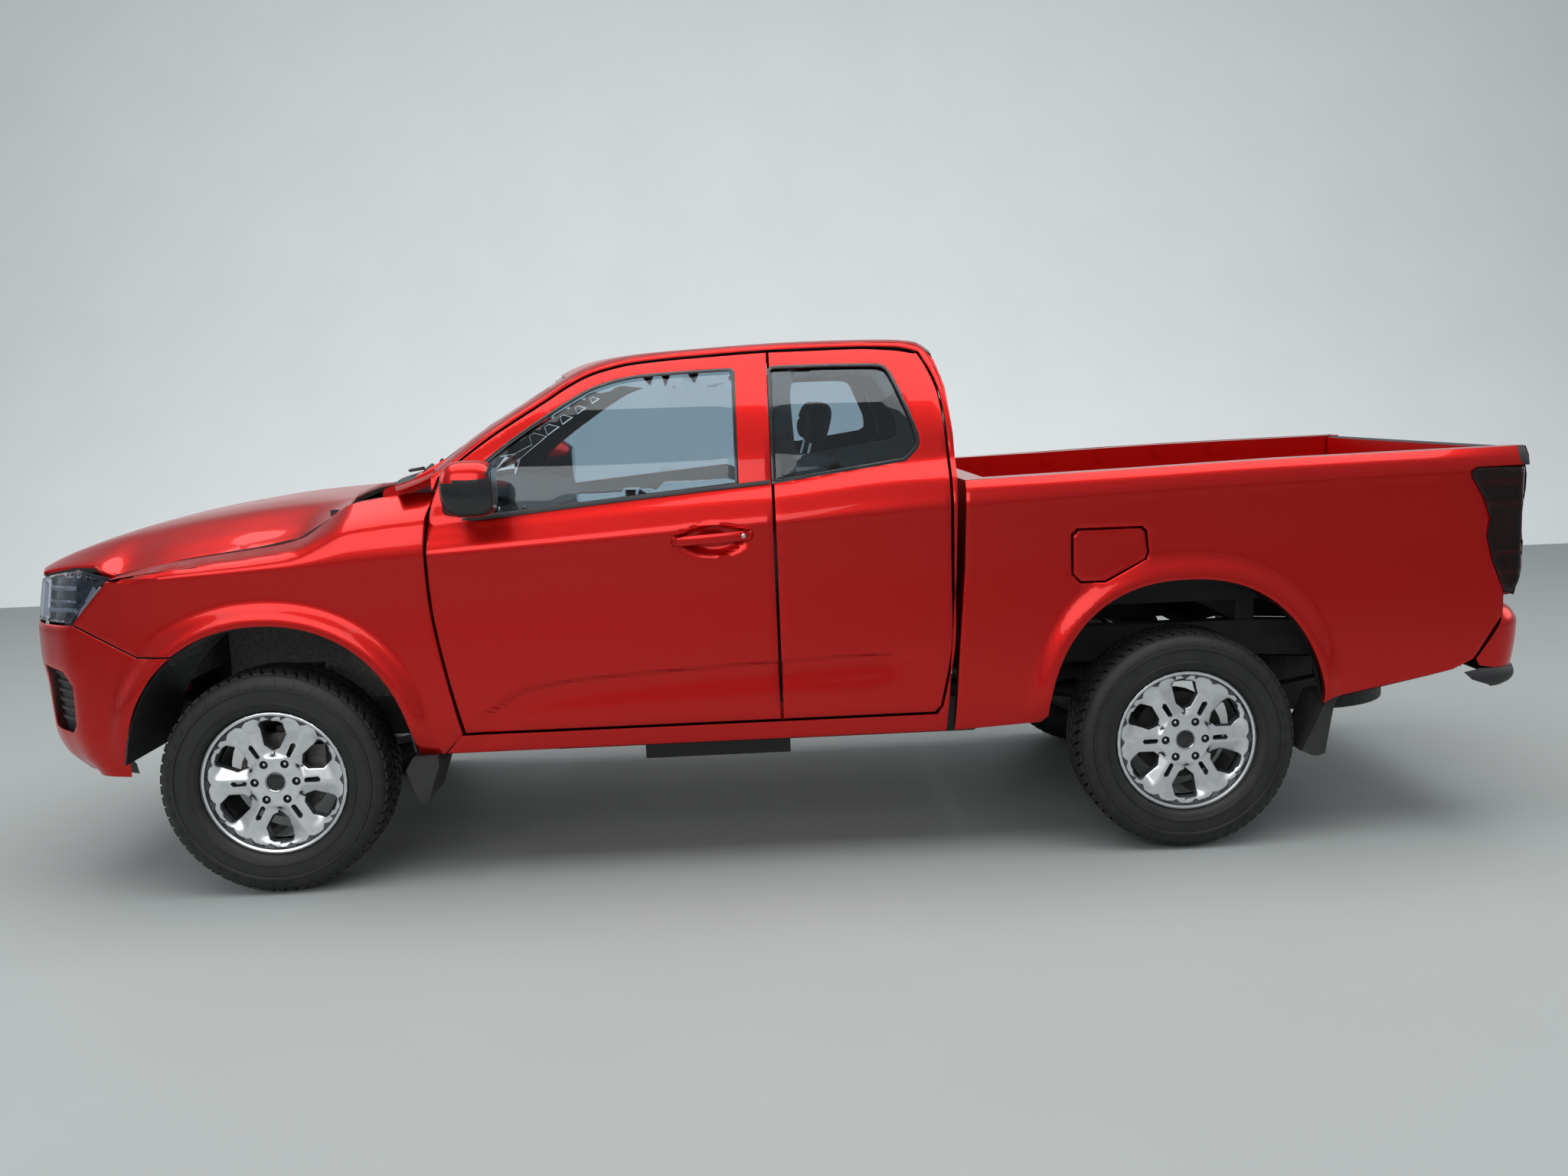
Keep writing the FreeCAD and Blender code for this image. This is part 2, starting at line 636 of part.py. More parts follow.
def spare_wheel():
    """Spare slung under the load floor, with the hanger that carries it."""
    x = 2080
    ring = bar(V(x, 0, 350), V(x, 0, 560), 355, WHEEL_SIDES).cut(bar(V(x, 0, 349), V(x, 0, 429), 130, 24))
    hanger = bar(V(x, 0, 555), V(x, 0, BED_FLOOR_Z - 30 - SEAT_GAP), 14)
    return ring.fuse(hanger)


# Cab

CAB_STATIONS = (-1340, -1230, -1128, -978, -778, -626, -473, -235, 51, 315, 505, 556, 598, 613)
TOP_FRACTIONS = (0.94, 0.8, 0.55, 0.28)


def top_height(x, share, lower):
    """Roof or windscreen height at x, at a share of the half width."""
    bulge = along(((-620, WINDSCREEN_BULGE), (-200, 0)), x) * (1 - share * share)
    return roof_edge(x + bulge) + ROOF_CROWN * (1 - share * share) - lower


def cab_ring(x, lower=0.0):
    """Outer cross-section of the cab at x as a closed ring."""
    side = side_points(max(x, -1150), "cab")
    belt = along(BELT_LINE, max(x, -1150))
    side[-1] = (green_half(belt), belt)
    ditch = max(door_top(x), belt + 6)
    side.append((green_half((belt + ditch) / 2), (belt + ditch) / 2))
    side.append((green_half(ditch), ditch))
    edge = green_half(ditch)
    side.append((edge - 12, max(roof_edge(x), belt + 20) - 8 - lower))
    for share in TOP_FRACTIONS:
        side.append((edge * share, max(top_height(x, share, lower), belt + 16)))
    left = [V(x, -half, z) for half, z in side]
    right = [V(x, half, z) for half, z in reversed(side)]
    return left + right


def cab_outer(lower=0.0):
    return loft([cab_ring(x, lower) for x in CAB_STATIONS])


def cavity_ring(x):
    """Inner cross-section of the cabin at x."""
    belt = along(BELT_LINE, max(x, -1150))
    room = BODY_HALF - DOOR_DEPTH - 4
    top = min(roof_edge(x), roof_edge(x + PANEL)) - ROOF_DEPTH
    top = max(top, belt + 30)
    side = [(room, CAB_FLOOR_Z), (room, belt - 40), (green_half(belt) - FRAME_DEPTH - 4, belt + 4),
            (green_half(top) - FRAME_DEPTH - 4, top)]
    edge = green_half(top) - FRAME_DEPTH - 4
    for share in TOP_FRACTIONS[1:]:
        rise = (top_height(x, share, 0) - roof_edge(x)) * 0.9
        side.append((edge * share, top + max(0, rise)))
    left = [V(x, -half, z) for half, z in side]
    right = [V(x, half, z) for half, z in reversed(side)]
    return left + right


def door_aperture(y0, y1):
    """Both left doorways as one opening, a shut gap larger than the doors."""
    front = moved(DOOR_FRONT_LINE, dx=-SHUT_GAP / 2)
    top = [(x, door_top(x) + SHUT_GAP / 2) for x in (-978, -778, -626, -473, -235, 51, 315, 480)]
    rear = moved(reversed(CAB_REAR_LINE), dx=SHUT_GAP / 2)
    path = [(front[0][0], DOOR_BOTTOM_Z - SHUT_GAP / 2), front[0], front[1:], top[0]] + top[1:]
    path += [rear[0], rear[1:], (rear[-1][0] - 60, DOOR_BOTTOM_Z - SHUT_GAP / 2)]
    return plate_xz(path, y0, y1)


SCREEN_PATH = [(-700, 1392), [(0, 1372), (700, 1392)], (612, 1715), [(0, 1742), (-612, 1715)]]
BACKLIGHT_PATH = [(-520, 1420), (520, 1420), (480, 1690), (-480, 1690)]


SCUTTLE_FRONT_X = -1330.0
FIREWALL_X = -1150.0
FIREWALL = 40.0
TUNNEL_HALF = 190.0
TUNNEL_TOP_Z = 660.0
POST_HALF = 755.0
POST_TOP_Z = 1200.0
JAMB_HALF = 760.0
JAMB_TOP_Z = 1230.0

# Door hinges: the pins stand inside the doors and brackets reach them from posts inboard
FRONT_HINGE_X = -1060.0
REAR_HINGE_X = 480.0
HINGE_Y = BODY_HALF - 26
HINGE_Z = (742.0, 1080.0)
HINGE_PIN_R = 5.0
HINGE_EYE_R = 8.5
HINGE_HALF_HEIGHT = 15.0


def hinge_bracket(x, z):
    """Left bracket from a cab post out to a door's hinge pin."""
    y = -HINGE_Y
    low = z - HINGE_HALF_HEIGHT
    high = z + HINGE_HALF_HEIGHT
    arm = box(x - 8, x + 8, y + 2, -POST_HALF + 1, low, high)
    arm = arm.fuse(rod(V(x, y, low), V(x, y, high), HINGE_EYE_R))
    return arm.cut(rod(V(x, y, low - 1), V(x, y, high + 1), HINGE_PIN_R + SEAT_GAP))


def hinge_pocket(x, edge_x, z):
    """Room inside a left door for the bracket over the door's whole swing."""
    back = x + 14 if edge_x < x else x - 14
    low_x, high_x = span(back, edge_x)
    high = HINGE_HALF_HEIGHT + 6
    return box(low_x, high_x, -HINGE_Y - HINGE_EYE_R - 2, -700, z - high, z + high)


def hinge_pin(x, z):
    high = HINGE_HALF_HEIGHT + 8
    return rod(V(x, -HINGE_Y, z - high), V(x, -HINGE_Y, z + high), HINGE_PIN_R)


def fender_path(dx=0.0):
    """Side outline of the front fender, ending a gap ahead of the door."""
    rear = moved(DOOR_FRONT_LINE, dx=-SHUT_GAP / 2 + dx)
    return [(FIREWALL_X - 10 + dx, SILL_Z - 20), (FIREWALL_X - 10 + dx, SILL_Z), (rear[0][0], DOOR_BOTTOM_Z),
            rear[1:-1], (rear[-1][0] - 8, 1375), (-1152, 1420), (-2220, 1420), (-2220, 1100),
            LAMP_CORNER_TOP, LAMP_CORNER_LOW, (-2148, BUMPER_SEAM_Z), (-1980, BUMPER_SEAM_Z), (-1735, 454),
            (-1300, SILL_Z - 20)]


def cab_shell():
    """Hollow cab: floor with its tunnel, sills, pillars, roof, scuttle and back wall."""
    outline = [(FIREWALL_X, SILL_Z), (FIREWALL_X, 1230), (SCUTTLE_FRONT_X, 1262), (SCUTTLE_FRONT_X, 1345),
               (-1230, 1500), (-900, 1900), (640, 1900)] + moved(BED_FRONT_LINE, dx=-CAB_BED_GAP)
    shell = cab_outer().common(plate_xz(outline, -1000, 1000))
    inner = loft([cavity_ring(x) for x in (-1320,) + CAB_STATIONS[2:10] + (470, 530, 580)])
    room_front = FIREWALL_X + FIREWALL
    room = [(room_front, CAB_FLOOR_Z), (room_front, 1262), (-1290, 1310), (-1290, 1900), (574, 1900),
            (574, CAB_FLOOR_Z)]
    shell = shell.cut(inner.common(plate_xz(room, -1000, 1000)))
    shell = shell.cut(box(-1200, 700, -700, 700, SILL_Z - 10, CAB_UNDER_Z))
    above_belt = door_aperture(-1000, -500).common(box(-1200, 700, -1000, 0, JAMB_TOP_Z, 1900))
    openings = [door_aperture(-1000, -JAMB_HALF), above_belt, plate_xz(fender_path(FIXED_SEAM), -1000, -770)]
    for cutter in openings + [flip(shape) for shape in openings]:
        shell = shell.cut(cutter)
    shell = shell.cut(plate_yz(SCREEN_PATH, -1500, -640))
    shell = shell.cut(plate_yz(BACKLIGHT_PATH, 500, 700))
    shell = shell.fuse(box(FIREWALL_X + 2, -510, -TUNNEL_HALF, TUNNEL_HALF, CAB_UNDER_Z + 4, TUNNEL_TOP_Z))
    shell = shell.cut(box(FIREWALL_X - 60, -545, -TUNNEL_HALF + 30, TUNNEL_HALF - 30, 400, TUNNEL_TOP_Z - 30))
    front_post = box(room_front - 5, FRONT_HINGE_X + 20, -POST_HALF, -POST_HALF + 26, CAB_FLOOR_Z - 10,
                     POST_TOP_Z)
    rear_post = box(REAR_HINGE_X - 20, 580, -POST_HALF, -POST_HALF + 26, CAB_FLOOR_Z - 10, 1380)
    brackets = [hinge_bracket(x, z) for x in (FRONT_HINGE_X, REAR_HINGE_X) for z in HINGE_Z]
    hood_brackets = [box(HOOD_HINGE_X - 12, FIREWALL_X + 5, -714, -704, HOOD_HINGE_Z - 10, HOOD_HINGE_Z + 10),
                     rod(V(HOOD_HINGE_X, -714, HOOD_HINGE_Z), V(HOOD_HINGE_X, -734, HOOD_HINGE_Z),
                         HINGE_PIN_R)]
    extras = [front_post, rear_post] + brackets + hood_brackets
    return shell.fuse(extras + [flip(shape) for shape in extras])


def cab_glass():
    """Windscreen and rear window."""
    screen = cab_outer(GLASS_SET_IN).cut(cab_outer(GLASS_SET_IN + GLASS + 1))
    screen = screen.common(plate_yz(shrunk(SCREEN_PATH, SEAT_GAP), -1500, -640))
    outer = cab_outer()
    near = outer.copy()
    near.translate(V(-GLASS_SET_IN, 0, 0))
    far = outer.copy()
    far.translate(V(-GLASS_SET_IN - GLASS, 0, 0))
    back = near.cut(far).common(plate_yz(shrunk(BACKLIGHT_PATH, SEAT_GAP), 500, 700))
    return [screen, back]


# Doors

EDGE_THIN = 6.0
EDGE_RUN = 26.0


def door_ring(x, inside, frame):
    """Cross-section of a left door at x, from its bottom to above the roof edge."""
    outer = side_points(x, "cab")[:-1]
    belt = along(BELT_LINE, x)
    top = ROOF_DITCH_Z + 40
    outer = outer + [(green_half(belt), belt), (green_half((belt + top) / 2), (belt + top) / 2),
                     (green_half(ROOF_DITCH_Z), ROOF_DITCH_Z), (green_half(ROOF_DITCH_Z) - 6, top)]
    if inside <= EDGE_THIN:
        inner = [(half - inside, z) for half, z in reversed(outer)]
        inner = inner[:4] + [inner[4], inner[-1]]
    else:
        inner = [(outer[-1][0] - frame, top), (outer[-2][0] - frame, ROOF_DITCH_Z),
                 (outer[-3][0] - frame, outer[-3][1]), (outer[-4][0] - frame, belt + 4),
                 (BODY_HALF - inside, belt - 36), (BODY_HALF - inside, SILL_Z)]
    return [V(x, -half, z) for half, z in outer + inner]


def door_slab(sections):
    """Left door wall through sections of (x, depth), thin where the two doors meet."""
    return loft([door_ring(x, depth, min(depth, FRAME_DEPTH)) for x, depth in sections])


def front_door_path():
    front = moved(DOOR_FRONT_LINE, dx=SHUT_GAP / 2)
    top = [(x, door_top(x) - SHUT_GAP / 2) for x in (-978, -778, -626, -473, -235)]
    end = DOOR_SPLIT_X + 20
    return [(front[0][0], DOOR_BOTTOM_Z + SHUT_GAP / 2), front[0], front[1:]] + top + [
        (end, door_top(end) - SHUT_GAP / 2), (end, DOOR_BOTTOM_Z + SHUT_GAP / 2)]


def rear_door_path():
    start = DOOR_SPLIT_X - 20
    rear = moved(reversed(CAB_REAR_LINE), dx=-SHUT_GAP / 2)
    return [(start, DOOR_BOTTOM_Z + SHUT_GAP / 2), (start, door_top(start) - SHUT_GAP / 2),
            (315, door_top(315) - SHUT_GAP / 2), (480, door_top(480) - SHUT_GAP / 2),
            rear[0], rear[1:], (rear[-1][0] - 60, DOOR_BOTTOM_Z + SHUT_GAP / 2)]


FRONT_WINDOW = [(-1040, 1258), (-1010, 1400), [(-776, 1568), (-600, 1670)], [(-475, 1697), (-135, 1713)],
                (-135, 1337)]
REAR_WINDOW = [(-2, 1336), (-2, 1716), [(200, 1716), (377, 1712)], [(453, 1568), (482, 1478)],
               [(478, 1430), (436, 1396)]]


FRONT_DOOR_REAR_X = DOOR_SPLIT_X - SHUT_GAP / 2
REAR_DOOR_FRONT_X = DOOR_SPLIT_X + SHUT_GAP / 2


def hinged(door, hinge_x, edge_x):
    """The door with its hinge pockets and pins."""
    for z in HINGE_Z:
        door = door.cut(hinge_pocket(hinge_x, edge_x, z)).fuse(hinge_pin(hinge_x, z))
    return door


def front_door():
    """Left front door with its window frame and pull handle."""
    end = FRONT_DOOR_REAR_X
    sections = [(-1190, DOOR_EDGE_DEPTH), (-1100, DOOR_DEPTH)]
    sections += [(x, DOOR_DEPTH) for x in (-978, -778, -626, -473, -235, end - EDGE_RUN)] + [(end, EDGE_THIN)]
    door = door_slab(sections).common(plate_xz(front_door_path(), -1000, -500))
    door = door.cut(plate_xz(FRONT_WINDOW, -1000, -500))
    handle = plate_xz([(-350, 1176), [(-215, 1192), (-90, 1186)], [(-215, 1152), (-350, 1176)]],
                      -BODY_HALF - 22, -BODY_HALF + 20)
    return hinged(door.fuse(handle), FRONT_HINGE_X, -1200)


def rear_door():
    """Left rear access door, hinged at its back edge."""
    start = REAR_DOOR_FRONT_X
    sections = [(start, EDGE_THIN)] + [(x, DOOR_DEPTH) for x in (start + EDGE_RUN, 51, 315, 426, 520)]
    sections += [(600, DOOR_EDGE_DEPTH)]
    door = door_slab(sections).common(plate_xz(rear_door_path(), -1000, -500))
    return hinged(door.cut(plate_xz(REAR_WINDOW, -1000, -500)), REAR_HINGE_X, 620)


def green_slab(set_in, thick):
    """Left sheet parallel to the cab side above the belt, at a depth from its skin."""
    rings = []
    for x in (-1200, 620):
        points = [(green_half(z), z) for z in (1200, 1330, 1460, 1560, 1700, 1800)]
        outer = [(half - set_in, z) for half, z in points]
        inner = [(half - set_in - thick, z) for half, z in reversed(points)]
        rings.append([V(x, -half, z) for half, z in outer + inner])
    return loft(rings)


def door_glass(path):
    return green_slab(GLASS_SET_IN, GLASS).common(plate_xz(shrunk(path, SEAT_GAP), -1000, -500))


def mirror_pod():
    """Left door mirror on its arm."""
    head = plate_xz([(-1072, 1290), [(-1085, 1350), (-1050, 1432)], [(-980, 1452), (-915, 1446)],
                     [(-895, 1400), (-900, 1275)], [(-980, 1262), (-1072, 1290)]], -1075, -935)
    arm = plate_xz([(-1090, 1278), (-1090, 1330), (-1046, 1334), (-1046, 1282)], -940, -800)
    return head.fuse(arm).cut(green_slab(-SEAT_GAP, 200))


# Front end

def nose_x(y, setback=0.0):
    return along(NOSE_CURVE, abs(y)) + setback


NOSE_Y = (0, 300, 600, 720, 800, 856, 880, 894)


def nose_ring(z, setback, wall, half=NOSE_Y[-1]):
    """Plan ring of the front end at height z, following the nose curve."""
    ys = [y for y in NOSE_Y if y <= half]
    outer = [V(nose_x(y) + setback, -y, z) for y in reversed(ys)]
    outer += [V(nose_x(y) + setback, y, z) for y in ys[1:]]
    inner = [V(nose_x(y) + setback + wall, y * (1 - wall / 1100.0), z) for y in reversed(ys)]
    inner += [V(nose_x(y) + setback + wall, -y * (1 - wall / 1100.0), z) for y in ys[1:]]
    return outer + inner


NOSE_SETBACK = ((413, 110), (490, 44), (560, 22), (730, 12), (821, 0), (912, 0), (960, 6), (1104, 30),
                (1140, 40))
NOSE_LEVELS = (413, 490, 560, 730, 821, 912, 1000)


LAMP_INNER_HALF = 560.0
GRILLE_LOW_Z = 912.0
GRILLE_TOP_Z = 1084.0
INTAKE_HALF = 430.0
BUMPER_LOW_Z = 416.0


def wing_ring(x):
    """Cross-section of the bumper's left side at x, in line with the fender above it."""
    outer = [(half, z) for half, z in side_points(x, "fender")[:4]]
    outer[0] = (outer[0][0] + 6, BUMPER_LOW_Z)
    return outer + [(half - 60, z) for half, z in reversed(outer)]


def front_bumper():
    """Wrap-round bumper with a lower intake, lamp recesses and its frame brackets."""
    mask = loft([nose_ring(z, along(NOSE_SETBACK, z), 70.0) for z in NOSE_LEVELS])
    low_x, low_z = LAMP_CORNER_LOW
    stations = (-2300, -2250, -2187, -2100, -1990)
    wing = loft([[V(x, -half, z) for half, z in wing_ring(x)] for x in stations])
    mask = mask.fuse(both(wing.fuse(arch_flare(FRONT_ARCH).common(box(-2300, -1990, -1000, -600, 400, 900)))))
    seam = BUMPER_SEAM_Z - 5
    side = [(-2700, 400), (-1990, 400), (-1990, seam), (-2150, seam), (low_x, low_z - 4), (-2700, low_z - 6)]
    mask = mask.common(plate_xz(side, -1000, 1000))
    mask = mask.cut(box(-2700, -2400, -INTAKE_HALF, INTAKE_HALF, 540, 700))
    mask = mask.cut(box(-2700, -2400, -LAMP_INNER_HALF, LAMP_INNER_HALF, GRILLE_LOW_Z, 1000))
    for cutter in both(box(-2700, -2440, -840, -700, 575, 785)):
        mask = mask.cut(cutter)
    for cutter in both(arch_cut(FRONT_ARCH, -1000, -600)):
        mask = mask.cut(cutter)
    brackets = [side_box(-2590, FRAME_FRONT_X - SEAT_GAP, s, 350, 400, 480, 536) for s in (-1, 1)]
    return mask.fuse(brackets)


def headlamps():
    """Wrap-round headlamps on the bumper's shelf, against the fenders."""
    lamp = loft([nose_ring(z, along(NOSE_SETBACK, z) + 3, 90.0) for z in (930, 1040, 1160)])
    low_x, low_z = LAMP_CORNER_LOW
    top_x, top_z = LAMP_CORNER_TOP
    gap = SEAT_GAP
    path = [(-2700, low_z - 6 + gap), (low_x - gap, low_z - 4 + gap), (low_x - gap, low_z),
            (top_x - gap, top_z), (-2222, 1104), (-2306, 1130), (-2417, 1144), (-2700, 1150)]
    left = lamp.common(plate_xz(path, -1000, -LAMP_INNER_HALF))
    return both(left.cut(hood_slab(SHUT_GAP, 100).common(hood_plan(SHUT_GAP))))


def grille():
    """Grille frame with its bars between the lamps."""
    half = LAMP_INNER_HALF - SEAT_GAP
    low = GRILLE_LOW_Z + SEAT_GAP
    ring = loft([nose_ring(z, along(NOSE_SETBACK, z) + 8, 30.0, 600.0) for z in (900, 1000, 1110)])
    body = ring.common(box(-2700, -2400, -half, half, low, GRILLE_TOP_Z))
    bars = body
    for k in range(3):
        z = 940 + 50 * k
        bars = bars.cut(box(-2700, -2400, -520, 520, z, z + 28))
    bars = bars.fuse(body.common(box(-2700, -2400, -20, 20, low, GRILLE_TOP_Z)))
    return bars.cut(hood_slab(SHUT_GAP, 100).common(hood_plan(SHUT_GAP)))


HOOD_STATIONS = (-2600, -2528, -2402, -2223, -2010, -1761, -1624, -1530, HOOD_REAR_X)
HOOD_DEPTH = ((-2600, 14), (-2402, 16), (-2223, 30))


def hood_top(x):
    """Points across the hood's skin at x."""
    crest = along(HOOD_CREST, x)
    low = along(HOOD_LINE, x)
    left = [(-HOOD_HALF - 14, low - 10), (-0.86 * HOOD_HALF, low + (crest - low) * 0.42),
            (-0.68 * HOOD_HALF, low + (crest - low) * 0.86), (-0.5 * HOOD_HALF, crest - 2)]
    return left + [(0, crest + 12)] + [(-y, z) for y, z in reversed(left)]


def hood_slab(drop, rise):
    """Slab over the hood's plan from its underside, lowered by drop, to its skin, raised by rise."""
    rings = []
    for x in HOOD_STATIONS:
        top = hood_top(x)
        depth = along(HOOD_DEPTH, x) + drop
        points = [(y, z + rise) for y, z in top] + [(y, z - depth) for y, z in reversed(top)]
        rings.append([V(x, y, z) for y, z in points])
    return loft(rings)


def hood_plan(spread):
    edge = HOOD_HALF - SHUT_GAP + spread
    front = [(nose_x(y) + 32 - spread, y) for y in (-700, -600, -400, -200, 0, 200, 400, 600, 700)]
    plan = [(HOOD_REAR_X, -edge), (-2236, -edge), (-2330, -720 - spread), front[0]] + [front[1:]] + [
        (-2330, 720 + spread), (-2236, edge), (HOOD_REAR_X, edge)]
    return plate_xy(plan + [[(HOOD_REAR_X - 80, 0), (HOOD_REAR_X, -edge)]], 900, 1500)


def hood():
    """Hood skin with its hinge lugs."""
    half = hood_slab(0, 0).common(hood_plan(0)).common(box(-2700, HOOD_REAR_X, -HOOD_HALF, 0, 900, 1500))
    skin = fused(both(half))
    lug = box(HOOD_HINGE_X - 60, HOOD_HINGE_X + 10, -730, -719, HOOD_HINGE_Z - 12, 1290)
    bore = rod(V(HOOD_HINGE_X, -760, HOOD_HINGE_Z), V(HOOD_HINGE_X, -700, HOOD_HINGE_Z),
               HINGE_PIN_R + SEAT_GAP)
    return skin.fuse(both(lug.cut(bore)))


FENDER_DEPTH = 40.0


def fender():
    """Left front fender with its flare."""
    rings = []
    for x in (-2470, -2402, -2300, -2233, -2095, -1924, -1753, -1624, -1526, -1430, -1290, -1170, -1080):
        outer = side_points(x, "fender")
        inner = [(half - FENDER_DEPTH, z) for half, z in reversed(outer[:-2])]
        inner = [(outer[-1][0], outer[-1][1] - 32), (outer[-2][0] - 30, outer[-2][1] - 26)] + inner
        rings.append([V(x, -half, z) for half, z in outer + inner])
    slab = loft(rings)
    skin = slab.common(plate_xz(fender_path(), -1000, -600))
    skin = skin.fuse(arch_flare(FRONT_ARCH).common(plate_xz(fender_path(), -1000, -600)))
    tab = box(-1300, -1220, -812, -770 - SEAT_GAP, 1250, 1290)
    skin = skin.cut(box(-2300, HOOD_REAR_X, -HOOD_HALF, 0, 900, 1500))
    return skin.cut(arch_cut(FRONT_ARCH, -1000, -600)).fuse(tab)


COWL_FRONT_X = -1400


def cowl_panel():
    """Black scuttle cover between the hood and the windscreen."""
    end = SCUTTLE_FRONT_X - SEAT_GAP
    front = COWL_FRONT_X
    path = [(front, 1290), (front, 1300), (end, 1336), (end, 1290)]
    return plate_xz(path, -700, 700)


# Load bed

BED_OUTLINE = list(reversed(BED_FRONT_LINE)) + [(BED_FRONT_X, 1400), (2592, 1400), (2592, 1296)]
BED_OUTLINE += list(reversed(TAIL_LAMP_FRONT))
BED_OUTLINE += [(2504, 779), (2400, 629), (2328, 595), (1903, 508), (1700, 480), (1000, 480), (919, 491)]


def bed_side():
    """Left wall of the load bed, full thickness above the floor and a skirt below it."""
    under = BED_FLOOR_Z - 30
    rings = []
    for x in (560, 1217, 1735, 2185, 2400, 2500, 2560, 2620):
        outer = side_points(x, "bed")
        inner = [(BED_INNER_HALF, outer[-1][1]), (BED_INNER_HALF, under), (WAIST_HALF - PANEL, under),
                 (SILL_HALF - PANEL, SILL_Z)]
        rings.append([V(x, -half, z) for half, z in outer + inner])
    side = loft(rings).common(plate_xz(BED_OUTLINE, -1200, 0))
    side = side.cut(arch_cut(REAR_ARCH, -1000, 0)).cut(plate_xz(tunnel_path(0), -(BODY_HALF - 40), 0))
    return side.fuse(arch_flare(REAR_ARCH))


def tunnel_path(spread):
    x0 = REAR_AXLE_X
    return arch_path(x0, 486.0 + spread, 640.0 + spread, 2.2, ARCH_FOOT_Z)


def load_floor():
    """Floor, wheel housings, headboard and cross sills of the load bed."""
    front = BED_FRONT_X + 14
    inner_front = TAILGATE_BACK_X - TAILGATE_DEPTH - BED_INNER_LENGTH
    back = TAILGATE_BACK_X - TAILGATE_DEPTH - SHUT_GAP
    half = BED_INNER_HALF - SEAT_GAP
    floor = box(front, back, -half, half, BED_FLOOR_Z - 30, BED_FLOOR_Z)
    pin_x = TAILGATE_PIN_X
    pin_z = TAILGATE_PIN_Z
    ears = []
    for side in (-1, 1):
        ears.append(side_box(2450, pin_x + 12, side, TAILGATE_HALF + 7, half, pin_z - 14, pin_z + 10))
        ears.append(rod(V(pin_x, side * (TAILGATE_HALF + 8), pin_z),
                        V(pin_x, side * (TAILGATE_HALF - 24), pin_z), TAILGATE_PIN_R))
    head = box(front, inner_front, -half, half, BED_FLOOR_Z - 30, 1310)
    housings = []
    hollows = []
    for side in (-1, 1):
        y0, y1 = span(side * 520, side * half)
        housing = plate_xz(tunnel_path(20), y0, y1)
        housings.append(housing.common(box(600, 2400, y0, y1, BED_FLOOR_Z - 30, 1200)))
        hollows.append(plate_xz(tunnel_path(0), *span(side * 540, side * 800)))
    shape = fused([floor, head] + housings)
    for hollow in hollows:
        shape = shape.cut(hollow)
    sills = []
    for x in (760, 1060, 1720, 2350):
        low = max(frame_top(x - 35), frame_top(x + 35)) + SEAT_GAP
        sills.append(box(x - 35, x + 35, -515, 515, low, BED_FLOOR_Z - 28))
    return shape.fuse(sills + ears)


def tailgate():
    """Tailgate with the hinge lugs on its lower corners."""
    back = TAILGATE_BACK_X
    low = BED_FLOOR_Z + SHUT_GAP
    path = [(back - TAILGATE_DEPTH, low), (back - TAILGATE_DEPTH, 1352),
            [(back - 30, 1358), (back + 4, 1348)], (back - 8, 1290), (back, 1200), (back, 900),
            (back - 6, low)]
    gate = plate_xz(path, -TAILGATE_HALF, TAILGATE_HALF)
    pin = V(TAILGATE_PIN_X, -TAILGATE_HALF, TAILGATE_PIN_Z)
    lug = bar(pin, pin + V(0, 30, 0), 14, 16)
    lug = lug.fuse(box(pin.x - 14, pin.x + 10, pin.y, pin.y + 30, pin.z, low + 4))
    bore = rod(pin - V(0, 1, 0), pin + V(0, 31, 0), TAILGATE_PIN_R + SEAT_GAP)
    return gate.fuse(both(lug)).cut(Part.makeCompound(both(bore)))


TAIL_LAMP_PATH = list(TAIL_LAMP_FRONT)
TAIL_LAMP_PATH += [(2592, 1296), (2601, 1262), (2600, 1213), (2583, 1134), (2585, 1061)]
TAIL_LAMP_PATH += [(2597, 1023), (2588, 931), (2547, 846)]


def tail_lamps():
    stations = (2360, 2450, 2500, 2550, 2610)
    rings = []
    for x in stations:
        outer = [(half + 2 - max(0, x - 2540) * 0.6, z) for half, z in side_points(x, "bed")]
        inner = [(BED_INNER_HALF + 2, outer[-1][1]), (BED_INNER_HALF + 2, SILL_Z)]
        rings.append([V(x, -half, z) for half, z in outer + inner])
    lamp = loft(rings).common(plate_xz(shrunk(TAIL_LAMP_PATH, SEAT_GAP), -1000, 0))
    return both(lamp)


def rear_bumper():
    """Rear bumper with painted corners and a step in the middle."""
    ys = (0, 300, 600, 780, 860, 900)
    edge = ((0, 2640), (600, 2632), (780, 2610), (860, 2560), (900, 2480))

    def ring(z, setback, wall):
        outer = [V(along(edge, y) - setback, -y, z) for y in reversed(ys)]
        outer += [V(along(edge, y) - setback, y, z) for y in ys[1:]]
        inner = [V(along(edge, y) - setback - wall, y * 0.93, z) for y in reversed(ys)]
        inner += [V(along(edge, y) - setback - wall, -y * 0.93, z) for y in ys[1:]]
        return outer + inner
    levels = ((535, 20), (580, 6), (620, 2), (745, 0), (800, 30))
    body = loft([ring(z, back, 90.0) for z, back in levels])
    side = [(2412, 622), (2506, 768), (2506, 790), (2700, 800), (2700, 500), (2455, 530), (2380, 578)]
    body = body.common(plate_xz(side, -1000, 1000))
    brackets = [side_box(FRAME_REAR_X + SEAT_GAP, 2560, s, 460, 520, 600, 690) for s in (-1, 1)]
    return body.fuse(brackets)


FLAP_PATH = [(993, 982), (993, 1110), (1021, 1140), (1236, 1140), (1252, 1125), (1260, 1050), (1252, 1025),
             (1110, 952), (1023, 952)]
FLAP_GAP = 7.0
FLAP_THICK = 8.0
FLAP_PIN_X = 1004.0
FLAP_PIN_Y = 890.5
FLAP_PIN_LOW = 985.0
FLAP_PIN_TOP = 1107.0


